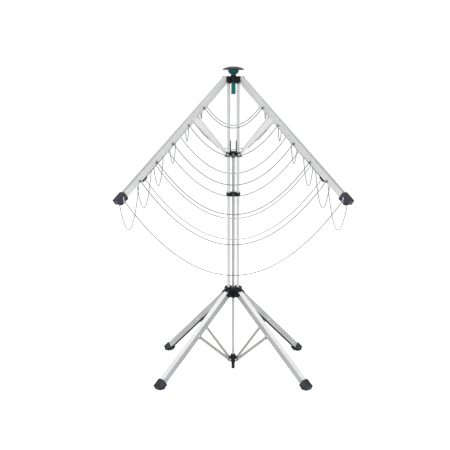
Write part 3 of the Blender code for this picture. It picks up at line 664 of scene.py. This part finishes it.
def drawn_aluminium(name, place, width, depth, side_tone, painted_light_top_tone, painted_shade_inside=0.9):
    """Tones are (dark, light) greys. The inside of the channel is painted a dark grey, as painted shade."""
    finish = Finish(name, place, metallic=0.6, specular_ior_level=0.3)
    y, z = finish.axis("Y"), finish.axis("Z")
    lines = finish.noise(900.0, (0.01, 1, 1), detail=4.0)
    bands = finish.noise(160.0, (0.004, 1, 1), detail=2.0)
    smudge = finish.noise(14.0, (1, 1, 1), detail=4.0)
    aside = finish.size_of(y) / (width / 2)
    above = z / (depth / 2)
    corner = aside * finish.size_of(above)
    worn = finish.step(corner, 0.80, 1.02)
    shade = 0.35 * bands + 0.10 * lines + 0.55 * smudge
    drawn = finish.step(shade, 0.30, 0.68)
    sides = finish.tinted([side_tone[0]] * 3, [side_tone[1]] * 3, drawn)
    top = finish.tinted([painted_light_top_tone[0]] * 3, [painted_light_top_tone[1]] * 3, drawn)
    painted_light_top_mask = finish.step(above, 0.94, 0.985)
    # the closed top takes its own grey: painted light, lighter on the legs and darker on the arms
    behind_side = finish.step(1 - aside, 0.10, 0.14)
    under_top = finish.step(0.9 - above, 0.0, 0.02)
    outside = finish.blended(sides, top, painted_light_top_mask)
    # the faces behind the side walls and under the top are painted dark grey: painted shade
    color = finish.blended(outside, PAINTED_SHADE_INSIDE, painted_shade_inside * behind_side * under_top)
    color = finish.wear(color, (0.86, 0.86, 0.87), 0.4 * worn)
    roughness = 0.36 + 0.10 * lines + 0.10 * smudge - 0.08 * worn
    return finish.surface(color, roughness, 0.7 * lines + 0.3 * bands, depth=0.00002, strength=0.06)


arm_metal = {}
leg_metal = {}
for corner in CORNERS:
    name = f"arm_aluminium_{corner}"
    arm_metal[corner] = drawn_aluminium(name, arm_frame[corner], ARM_WIDTH, ARM_DEPTH, *ARM_TONES)
    name = f"leg_aluminium_{corner}"
    leg_metal[corner] = drawn_aluminium(name, leg_frame[corner], LEG_WIDTH, LEG_DEPTH, *LEG_TONES)
# a post's drawn lines run up, so its frame is turned to lay X along Z, and it is all one round side
STANDING = Matrix.Rotation(math.radians(-90), 4, "Y")
post_metal = drawn_aluminium("post_aluminium", STANDING, 1.0, 1.0, *POST_TONES, painted_shade_inside=0.0)
rod_metal = drawn_aluminium("rod_aluminium", STANDING, 1.0, 1.0, *ROD_TONES, painted_shade_inside=0.0)
print(len(arm_metal) + len(leg_metal) + 2, "aluminium finishes")


# %% [markdown]
# ## Pressed sheet, steel pins, plastics
#
# The braces are pressed from sheet: duller, with rolling lines and shallow dimples from the press. The pins
# are plated steel. The plastics are moulded in a charcoal grey with a fine spark grain, the feet in a
# softer grade, and the release parts in teal. Moulded parts look real when the grain is fine and the gloss
# changes slightly over them.

# %% Sheet, steel and cord
def pressed_sheet(name, place, dark, light):
    finish = Finish(name, place, metallic=0.5)
    rolling = finish.noise(420.0, (0.03, 1, 1), detail=3.0)
    dimples = finish.noise(95.0, (0.6, 1, 1), detail=2.0)
    smudge = finish.noise(22.0, (1, 1, 1), detail=4.0)
    color = finish.tinted(dark, light, 0.25 * rolling + 0.75 * smudge)
    roughness = 0.42 + 0.08 * smudge + 0.03 * rolling
    return finish.surface(color, roughness, 0.6 * dimples + 0.4 * rolling, depth=0.00002, strength=0.06)


def plated_steel(name, dark, light):
    finish = Finish(name, metallic=1.0)
    grain = finish.noise(1400.0, (1, 1, 1), detail=3.0)
    cloud = finish.noise(160.0, (1, 1, 1), detail=2.0)
    color = finish.tinted([dark] * 3, [light] * 3, cloud)
    return finish.surface(color, 0.22 + 0.16 * grain, grain, depth=0.00004, strength=0.3)


def sheathed_cord():
    finish = Finish("cord_sheath", ior=1.46)
    grain = finish.noise(700.0, (1, 1, 1), detail=3.0)
    rub = finish.noise(35.0, (1, 1, 1), detail=3.0)
    color = finish.tinted((0.10, 0.102, 0.105), (0.16, 0.162, 0.165), finish.step(rub, 0.3, 0.7))
    return finish.surface(color, 0.42 + 0.2 * grain, grain, depth=0.00005, strength=0.3)


brace_metal = {}
strut_metal = {}
for corner in CORNERS:
    place = swung(corner, SLIDER_PIVOT, ARM_BRACE_DROP)
    brace_metal[corner] = pressed_sheet(f"arm_brace_sheet_{corner}", place,
                                        (0.60, 0.595, 0.585), (0.66, 0.655, 0.645))
    place = swung(corner, LOWER_PIVOT, LEG_BRACE_DROP)
    strut_metal[corner] = pressed_sheet(f"leg_brace_sheet_{corner}", place,
                                        (0.28, 0.275, 0.265), (0.35, 0.345, 0.33))
steel = plated_steel("plated_steel", 0.60, 0.80)
blackened_steel = plated_steel("blackened_steel", 0.020, 0.045)
cord_finish = sheathed_cord()
print("sheet, steel and cord finishes ready")


# %% Moulded plastics
def moulded(name, dark, light, base_roughness, grain_depth):
    """A moulded plastic with a fine spark grain and faint flow marks."""
    finish = Finish(name, specular_ior_level=0.22)
    grain = finish.noise(2200.0, (1, 1, 1), detail=2.0)
    flow = finish.noise(38.0, (1, 1, 0.35), detail=4.0)
    scuffs = finish.step(finish.noise(240.0, (1, 0.15, 1), detail=5.0), 0.66, 0.74)
    color = finish.tinted(dark, light, finish.step(flow, 0.25, 0.75))
    color = finish.wear(color, [2.2 * x + 0.02 for x in light], 0.10 * scuffs)
    roughness = base_roughness + 0.10 * flow + 0.10 * grain + 0.08 * scuffs
    return finish.surface(color, roughness, grain, depth=grain_depth, strength=0.35)


charcoal = moulded("charcoal_plastic", (0.003, 0.004, 0.006), (0.008, 0.009, 0.012), 0.46, 0.00008)
knob_plastic = moulded("knob_plastic", (0.010, 0.013, 0.016), (0.020, 0.024, 0.028), 0.36, 0.00006)
cap_plastic = moulded("cap_plastic", (0.020, 0.019, 0.028), (0.036, 0.035, 0.047), 0.40, 0.00008)
foot_plastic = moulded("foot_plastic", (0.014, 0.019, 0.022), (0.028, 0.034, 0.040), 0.46, 0.00010)
sole_rubber = moulded("sole_rubber", (0.006, 0.006, 0.007), (0.014, 0.014, 0.015), 0.62, 0.00014)
teal = moulded("teal_plastic", (0.002, 0.115, 0.098), (0.004, 0.165, 0.142), 0.34, 0.00006)
deep_teal = moulded("deep_teal_plastic", (0.001, 0.070, 0.068), (0.003, 0.105, 0.098), 0.36, 0.00006)
print("seven plastics ready")

# %% [markdown]
# ## Dressing the solid parts
#
# The parts of the solid model keep their shape, but a real edge is never sharp. A Bevel modifier gives each
# one a small round that catches the light. The imported meshes are split at their sharp edges, so a Weld
# comes first, and a Weighted Normal last keeps the flat faces flat.

# %% Finishes and rounded edges on the solid parts
def round_edges(node, width):
    weld = node.modifiers.new("join", "WELD")
    weld.merge_threshold = 0.00001
    bevel = node.modifiers.new("round", "BEVEL")
    bevel.width = width
    bevel.segments = 2
    bevel.limit_method = "ANGLE"
    bevel.angle_limit = math.radians(38)
    bevel.use_clamp_overlap = True
    shade = node.modifiers.new("shade", "WEIGHTED_NORMAL")
    shade.keep_sharp = False


def dress(name, material, width=None):
    node = frame["nodes"][name]
    for slot in node.material_slots:
        slot.material = material
    if width:
        round_edges(node, width)


for corner in CORNERS:
    dress(f"arm_{corner}", arm_metal[corner], 0.0005)
    dress(f"leg_{corner}", leg_metal[corner], 0.0005)
    dress(f"arm_brace_{corner}", brace_metal[corner], 0.0004)
    dress(f"leg_brace_{corner}", strut_metal[corner], 0.0004)
    dress(f"arm_cap_{corner}", cap_plastic, 0.0010)
    dress(f"foot_{corner}", foot_plastic, 0.0012)
    dress(f"post_{corner}", post_metal)
    for pin in ("slider_pin", "lower_pin"):
        dress(f"{pin}_{corner}", steel)
    for pin in ("arm_pin", "leg_pin"):
        dress(f"{pin}_{corner}", blackened_steel)
for name in ("top_hub", "crown", "upper_slider", "mid_guide", "lower_hub", "latch_fork", "spike_tip"):
    dress(name, charcoal, 0.0004)
dress("rod", rod_metal)
dress("push_knob", knob_plastic)
dress("release_collar", deep_teal)
dress("release_sleeve", teal, 0.0003)
dress("return_spring", steel)
for piece in cords:
    piece.data.materials.append(cord_finish)
print("dressed", len(frame["nodes"]), "solid parts")

# %% [markdown]
# ## Small parts
#
# The solid model stops at the parts that carry load. The eye also expects the small ones: rivets, washers,
# clips that keep the cord in its notches, soles, knots. Each is a mesh that rides on the part it is fixed
# to. Two shapes make nearly all of them: a turned profile, and an outline given a thickness.

# %% Helpers for small parts
def turned_shape(profile, segments=32):
    """Points and faces of a solid turned about Z, from (radius, height) pairs that end on the axis."""
    points, faces = [], []
    for radius, height in profile:
        for i in range(segments):
            turn = math.tau * i / segments
            points.append((radius * math.cos(turn), radius * math.sin(turn), height))
    for row in range(len(profile) - 1):
        for i in range(segments):
            j = (i + 1) % segments
            a, b = row * segments, (row + 1) * segments
            faces.append((a + i, b + i, b + j, a + j))
    return points, faces


def ring_shape(profile, segments=32):
    """Points and faces of a ring: the profile closes on itself and stays off the axis."""
    return turned_shape([*profile, profile[0]], segments)


def slab_shape(outline, low, high):
    """Points and faces of an outline of (x, z) pairs with its thickness along Y."""
    count = len(outline)
    points = [(x, y, z) for y in (low, high) for x, z in outline]
    faces = [tuple(range(count)), tuple(reversed(range(count, 2 * count)))]
    for i in range(count):
        j = (i + 1) % count
        faces.append((i, count + i, count + j, j))
    return points, faces


def gathered(shapes):
    """Several shapes as one, each with its own matrix."""
    points, faces = [], []
    for (some_points, some_faces), matrix in shapes:
        first = len(points)
        points += [matrix @ Vector(p) for p in some_points]
        faces += [tuple(first + i for i in face) for face in some_faces]
    return points, faces


def small_part(name, shape, place, body, material, rounding=0.0, smooth=40):
    """A piece with that shape, at that place, riding on a body."""
    points, faces = shape
    mesh = bpy.data.meshes.new(name)
    mesh.from_pydata([place @ Vector(p) for p in points], [], faces)
    model = bmesh.new()
    model.from_mesh(mesh)
    bmesh.ops.remove_doubles(model, verts=model.verts, dist=0.000002)
    bmesh.ops.recalc_face_normals(model, faces=model.faces)
    model.to_mesh(mesh)
    model.free()
    mesh.shade_smooth()
    mesh.set_sharp_from_angle(angle=math.radians(smooth))
    mesh.materials.append(material)
    part = bpy.data.objects.new(name, mesh)
    bpy.context.scene.collection.objects.link(part)
    if rounding:
        round_edges(part, rounding)
    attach(part, body)
    return part


def shifted(x, y, z):
    return Matrix.Translation((x, y, z))


AT_ORIGIN = Matrix.Identity(4)
LYING = Matrix.Rotation(math.radians(90), 4, "X")  # turns a part's Z axis to face -Y
print("helpers ready")

# %% [markdown]
# ## The knob
#
# The knob is what the hand meets: a wide shallow dome with a soft rolled edge. The solid model's knob has
# few facets, so a finer one stands for it. Its face has a shallow dish in the middle and two fine rings,
# which break the highlight.

# %% The knob
KNOB_RADIUS = 0.0405
KNOB_TOP = 1.1685
KNOB_UNDER = 1.1548
knob = [(0, KNOB_TOP - 0.0012), (0.0080, KNOB_TOP - 0.0010), (0.0105, KNOB_TOP - 0.0002)]
knob += [(0.0120, KNOB_TOP - 0.0004)]
knob += [(0.0180, KNOB_TOP - 0.0011), (0.0230, KNOB_TOP - 0.0025), (0.0236, KNOB_TOP - 0.0032)]
knob += [(0.0242, KNOB_TOP - 0.0028), (0.0300, KNOB_TOP - 0.0047), (0.0345, KNOB_TOP - 0.0065)]
knob += [(0.0375, KNOB_TOP - 0.0080), (0.0396, KNOB_TOP - 0.0094), (KNOB_RADIUS, KNOB_TOP - 0.0108)]
knob += [(0.0402, KNOB_TOP - 0.0120), (0.0392, KNOB_TOP - 0.0127), (0.0378, KNOB_TOP - 0.0128)]
knob += [(0.0350, KNOB_TOP - 0.0117), (0.0220, KNOB_UNDER + 0.0012), (0.0195, KNOB_UNDER), (0, KNOB_UNDER)]
dome = turned_shape(knob, 96)
domed = small_part("knob_dome", dome, AT_ORIGIN, "release", knob_plastic, smooth=60)
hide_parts("push_knob")
print("knob:", len(domed.data.polygons), "faces")

# %% [markdown]
# ## Rivets and saddles
#
# A rivet through both side walls holds the far end of each arm brace. Its heads are low domes. The far end
# of a leg brace sits between two black cheeks of a saddle, which shows under the leg.

# %% Rivets and saddles
BRACE_ON_ARM = (0.2206, -0.004)
BRACE_ON_LEG = (0.206, -0.003)
SADDLE_INNER, SADDLE_OUTER = 0.0040, 0.0092
head = [(0, 0.0013), (0.0012, 0.00125), (0.0022, 0.0009), (0.0029, 0.0002), (0.0030, -0.0002), (0, -0.0002)]


def rivet_pair(along, deep, half):
    """Two heads, one on each side wall."""
    place = shifted(along, 0, deep)
    there = place @ shifted(0, half, 0) @ Matrix.Rotation(math.radians(-90), 4, "X")
    back = place @ shifted(0, -half, 0) @ LYING
    return gathered([(turned_shape(head), there), (turned_shape(head), back)])


saddle = [(0.193, -0.0040), (0.193, -0.0105), (0.1965, -0.0138), (0.2000, -0.0150), (0.2120, -0.0150)]
saddle += [(0.2160, -0.0135), (0.2190, -0.0100), (0.2190, -0.0040)]
for corner in CORNERS:
    arm, leg = arm_frame[corner], leg_frame[corner]
    heads = rivet_pair(*BRACE_ON_ARM, ARM_WIDTH / 2)
    small_part(f"arm_rivet_{corner}", heads, arm, f"{corner}_arm", steel)
    heads = rivet_pair(*BRACE_ON_LEG, LEG_WIDTH / 2)
    small_part(f"leg_rivet_{corner}", heads, leg, f"{corner}_leg", steel)
    cheeks = gathered([(slab_shape(saddle, SADDLE_INNER, SADDLE_OUTER), AT_ORIGIN),
                       (slab_shape(saddle, -SADDLE_OUTER, -SADDLE_INNER), AT_ORIGIN)])
    small_part(f"leg_saddle_{corner}", cheeks, leg, f"{corner}_leg", sole_rubber, 0.0004)
print("rivets and saddles on", len(CORNERS), "arms and legs")

# %% [markdown]
# ## Clips in the notches
#
# The cord would chafe on the bare edge of a notch, so a small dark clip stands over each notch on the side
# wall. Its outline is an upside-down V with a blunt top, drawn once and repeated on both walls.

# %% Notch clips
clip_plastic = moulded("clip_plastic", (0.12, 0.12, 0.125), (0.18, 0.18, 0.185), 0.40, 0.00006)
clip = [(-0.0052, -0.0122), (-0.0040, -0.0122), (-0.0027, -0.0050), (-0.0012, -0.0034), (0.0012, -0.0034)]
clip += [(0.0027, -0.0050), (0.0040, -0.0122), (0.0052, -0.0122), (0.0048, -0.0040), (0.0026, -0.0014)]
clip += [(-0.0026, -0.0014), (-0.0048, -0.0040)]
CLIP_THICKNESS = 0.0009
for corner in CORNERS:
    shapes = []
    for along in notches[:-1]:
        for side in (1, -1):
            low, high = sorted((side * ARM_WIDTH / 2, side * (ARM_WIDTH / 2 + CLIP_THICKNESS)))
            shapes.append((slab_shape(clip, low, high), shifted(along, 0, 0)))
    small_part(f"notch_clips_{corner}", gathered(shapes), arm_frame[corner], f"{corner}_arm",
               clip_plastic, rounding=0.00025)
print(len(shapes), "clips on each arm")

# %% [markdown]
# ## Cap trims
#
# Each arm ends in a plastic cap. A black trim runs round its lower edge, and a pale hook moulded into each
# side keeps the outermost cord from sliding off.

# %% Cap trims and hooks
pale_insert = moulded("pale_insert", (0.50, 0.51, 0.53), (0.62, 0.63, 0.65), 0.40, 0.00006)
TRIM_START = 0.6293
CAP_ROUND = 0.014
TRIM_OUTER, TRIM_INNER = 0.0142, 0.0116  # radii round the cap's corner
CAP_SINK, TRIM_PROUD, HOOK_PROUD = 0.0004, 0.0009, 0.0016


def round_corner(radius):
    """A quarter turn round the cap's lower corner, from its end down to its lower edge."""
    turns = [math.radians(-90 * i / 8) for i in range(9)]
    middle = ARM_END - CAP_ROUND
    return [(middle + radius * math.cos(turn), radius * math.sin(turn)) for turn in turns]


def both_sides(outline, sink, proud):
    """The outline on both sides of a cap, sunk a little into it and standing a little proud of it."""
    half = CAP_WIDTH / 2
    return gathered([(slab_shape(outline, half - sink, half + proud), AT_ORIGIN),
                     (slab_shape(outline, -half - proud, sink - half), AT_ORIGIN)])


trim = [*round_corner(TRIM_OUTER), (TRIM_START, -TRIM_OUTER), (TRIM_START, -TRIM_INNER)]
trim += reversed(round_corner(TRIM_INNER))
bar = [(0.6478, -0.0120), (0.6480, -0.0040), (0.6470, 0.0010), (0.6440, 0.0040), (0.6400, 0.0044)]
bar += [(0.6398, 0.0022), (0.6428, 0.0018), (0.6447, -0.0004), (0.6453, -0.0050), (0.6453, -0.0120)]
for corner in CORNERS:
    sides = both_sides(trim, CAP_SINK, TRIM_PROUD)
    small_part(f"cap_trim_{corner}", sides, arm_frame[corner], f"{corner}_arm",
               charcoal, rounding=0.0003)
    hooks = both_sides(bar, CAP_SINK, HOOK_PROUD)
    small_part(f"cap_hook_{corner}", hooks, arm_frame[corner], f"{corner}_arm",
               pale_insert, rounding=0.0004)
print("caps trimmed")

# %% [markdown]
# ## Soles
#
# The feet stand on black rubber soles. A sole wraps the heel, follows the floor and rises a little at the
# toe, and its upper edge is curved. Three shallow ribs show on the heel.

# %% Soles
SOLE_HALF_WIDTH = 0.0143
sole = [(0.4290, -0.0132), (0.4300, -0.0152), (0.4330, -0.0164), (0.4365, -0.0150), (0.4385, -0.0166)]
sole += [(0.4420, -0.0152), (0.4440, -0.0168), (0.4503, -0.0168), (0.4655, -0.0039), (0.4662, 0.0010)]
sole += [(0.4645, 0.0012), (0.4628, -0.0032), (0.4560, -0.0074), (0.4480, -0.0098), (0.4380, -0.0106)]
for corner in CORNERS:
    shape = slab_shape(sole, -SOLE_HALF_WIDTH, SOLE_HALF_WIDTH)
    small_part(f"sole_{corner}", shape, leg_frame[corner], f"{corner}_leg", sole_rubber,
               rounding=0.0005)
lowest = min((leg_frame["front_left"] @ Vector((x, 0, z))).z for x, z in sole)
print("soles reach down to", round(lowest, 5), "m")

# %% [markdown]
# ## Pin caps, ferrules and screws
#
# The pins in the two hinged collars end in pale caps, which read as light dots from the front. Where the
# posts enter the crown and the hub, each has a rolled ferrule. Small screw heads are set in the four faces
# of the slider and of the guide.

# %% Pin caps, ferrules and screws
CLEVIS_HALF = 0.0055
CAP_GAP = 0.0004
CROWN_TOP = 0.3244
HUB_BOTTOM = 1.1092
SLIDER_FACE = (0.0196, 0.8395)  # out from the axis, above the floor
GUIDE_FACE = (0.0208, 0.6878)
cap = [(0, 0.0026), (0.0016, 0.0025), (0.0030, 0.0019), (0.0038, 0.0009), (0.0040, 0.0000), (0, 0.0000)]
POST_CIRCLE = 0.0253
ferrule = [(0.0056, 0.0), (0.0100, 0.0), (0.0104, 0.0012), (0.0100, 0.0030), (0.0086, 0.0042)]
ferrule += [(0.0068, 0.0046), (0.0056, 0.0044)]


def pin_caps(pivot):
    """Caps on both ends of the four pins at that pivot."""
    shapes = []
    for corner in CORNERS:
        place = swung(corner, pivot, 0)
        for side in (1, -1):
            outward = Matrix.Rotation(math.radians(-90 * side), 4, "X")
            stand = shifted(0, side * (CLEVIS_HALF + CAP_GAP), 0) @ outward
            shapes.append((turned_shape(cap, 24), place @ stand))
    return gathered(shapes)


def at_posts(shape, height, flip=False):
    over = Matrix.Rotation(math.radians(180), 4, "X") if flip else AT_ORIGIN
    return gathered([(shape, swung(corner, (POST_CIRCLE, height), 0) @ over) for corner in CORNERS])


def on_four_faces(shape, radius, height):
    """The same shape on the four sides between the posts, facing out."""
    shapes = []
    for quarter in range(4):
        turn = Matrix.Rotation(math.radians(90 * quarter), 4, "Z")
        shapes.append((shape, turn @ shifted(0, -radius, height) @ LYING))
    return gathered(shapes)


small_part("slider_pin_caps", pin_caps(SLIDER_PIVOT), AT_ORIGIN, "core", pale_insert)
small_part("lower_pin_caps", pin_caps(LOWER_PIVOT), AT_ORIGIN, "core", pale_insert)
on_crown = at_posts(ring_shape(ferrule), CROWN_TOP)
under_hub = at_posts(ring_shape(ferrule), HUB_BOTTOM, flip=True)
small_part("crown_ferrules", on_crown, AT_ORIGIN, "mast_frame", charcoal)
small_part("hub_ferrules", under_hub, AT_ORIGIN, "mast_frame", charcoal)
screw = [(0, 0.0002), (0.0008, 0.0002), (0.0009, 0.0010), (0.0020, 0.0008), (0.0024, 0.0000), (0, 0.0000)]
one_screw = turned_shape(screw, 24)
small_part("slider_screws", on_four_faces(one_screw, *SLIDER_FACE), AT_ORIGIN, "core", steel)
small_part("guide_screws", on_four_faces(one_screw, *GUIDE_FACE), AT_ORIGIN, "core", steel)
print("pin caps, ferrules and screws in place")

# %% [markdown]
# ## Bands, flange and lip
#
# Thin mouldings are stiffened at their edges. The middle guide has a band round it, the spike a small flange
# that keeps it from pushing through soft ground, and the release sleeve a rolled lip.

# %% Bands, flange and lip
lip = [(0.0063, 1.0655), (0.0081, 1.0655), (0.0084, 1.0668), (0.0084, 1.0684), (0.0082, 1.0690)]
lip += [(0.0063, 1.0690)]
small_part("sleeve_lip", ring_shape(lip, 40), AT_ORIGIN, "release", teal)
flange = [(0.0062, 0.0235), (0.0078, 0.0240), (0.0082, 0.0252), (0.0078, 0.0264), (0.0062, 0.0268)]
small_part("spike_flange", ring_shape(flange, 40), AT_ORIGIN, "core", sole_rubber)
band = [(0.0180, 0.6866), (0.0219, 0.6866), (0.0222, 0.6872), (0.0222, 0.6884), (0.0219, 0.6890)]
band += [(0.0180, 0.6890)]
small_part("guide_band", ring_shape(band, 64), AT_ORIGIN, "core", charcoal)
print("band, flange and lip in place")

# %% [markdown]
# ## Knots
#
# The cord starts with a knot inside the front left arm and ends with one in that arm's cap. A trefoil is
# the simplest knot that is a plain formula, and pulled tight it looks like the overhand knot everyone ties.

# %% Knots
def knot_shape(size):
    """A tube swept along a closed trefoil."""
    steps, ring = 72, 10
    points, faces = [], []

    def path(turn):
        x = math.sin(turn) + 2 * math.sin(2 * turn)
        y = math.cos(turn) - 2 * math.cos(2 * turn)
        return size * Vector((x, y, -1.3 * math.sin(3 * turn)))

    for i in range(steps):
        turn = math.tau * i / steps
        here, ahead = path(turn), path(turn + 0.01)
        slope = (ahead - here).normalized()
        across = slope.cross(Vector((0, 0, 1))).normalized()
        up = across.cross(slope)
        for j in range(ring):
            spin = math.tau * j / ring
            points.append(here + CORD_RADIUS * (math.cos(spin) * across + math.sin(spin) * up))
        for j in range(ring):
            k = (j + 1) % ring
            a, b = i * ring, ((i + 1) % steps) * ring
            faces.append((a + j, a + k, b + k, b + j))
    return points, faces


KNOT_SIZE = 0.0010
start_knot = arm_frame["front_left"] @ shifted(notches[0] - 0.0245, CHANNEL_SIDE, IN_CHANNEL - 0.0005)
end_knot = arm_frame["front_left"] @ shifted(notches[-1], -CHANNEL_SIDE + 0.0015, IN_NOTCH + 0.0008)
for name, place in (("knot_start", start_knot), ("knot_end", end_knot)):
    small_part(name, knot_shape(KNOT_SIZE), place, "front_left_arm", cord_finish, smooth=80)
print("two knots tied")

# %% [markdown]
# ## Light, floor and background
#
# The clothesline stands in a plain white studio. A pale floor, a white surround and three large soft lights
# are enough. Metal shows what is around it: the sides of the arms mirror the bright surround at eye height,
# and their closed tops mirror the ceiling, so the surround gets darker overhead. A Standard view keeps the
# white a plain white.

# %% The studio
# (height of the direction, colour): white up to well above eye height, then grey overhead
SKY_STOPS = [(0.0, (1, 1, 1, 1)), (0.30, (1, 1, 1, 1))]
SKY_STOPS += [(0.55, (0.52, 0.53, 0.54, 1)), (1.0, (0.34, 0.35, 0.36, 1))]

floor_mesh = bpy.data.meshes.new("studio_floor")
reach = 40.0
floor_corners = [(-reach, -reach, 0), (reach, -reach, 0), (reach, reach, 0), (-reach, reach, 0)]
floor_mesh.from_pydata(floor_corners, [], [(0, 1, 2, 3)])
floor = bpy.data.objects.new("studio_floor", floor_mesh)
bpy.context.scene.collection.objects.link(floor)
floor_finish = bpy.data.materials.new("studio_floor")
floor_finish.use_nodes = True
floor_inputs = floor_finish.node_tree.nodes["Principled BSDF"].inputs
floor_inputs["Base Color"].default_value = (0.93, 0.93, 0.93, 1)
floor_inputs["Roughness"].default_value = 0.9
floor_inputs["Emission Color"].default_value = (1, 1, 1, 1)
floor_inputs["Emission Strength"].default_value = 0.55
floor_mesh.materials.append(floor_finish)

world = bpy.data.worlds.new("studio")
bpy.context.scene.world = world
world.use_nodes = True
sky = Board(world.node_tree)
direction = sky.node("ShaderNodeTexCoord", output="Generated")
height = sky.node("ShaderNodeSeparateXYZ", None, {0: direction}, output="Z")
shade = sky.node("ShaderNodeValToRGB", {"stops": SKY_STOPS}, {0: height})
surround = world.node_tree.nodes["Background"].inputs
world.node_tree.links.new(shade.socket, surround["Color"])
surround["Strength"].default_value = 1.05
bpy.context.scene.view_settings.view_transform = "Standard"


def soft_light(name, place, aim, side, power):
    light = bpy.data.objects.new(name, bpy.data.lights.new(name, "AREA"))
    light.data.shape = "SQUARE"
    light.data.size = side
    light.data.energy = power
    light.location = place
    light.rotation_euler = (Vector(aim) - Vector(place)).to_track_quat("-Z", "Y").to_euler()
    bpy.context.scene.collection.objects.link(light)


soft_light("key", (-2.2, -3.0, 3.0), (0, 0, 0.6), 4.5, 75)
soft_light("fill", (3.0, -2.0, 1.6), (0, 0, 0.7), 4.5, 30)
soft_light("top", (0, 0.6, 3.4), (0, 0, 0.5), 4.5, 60)
print("studio ready")
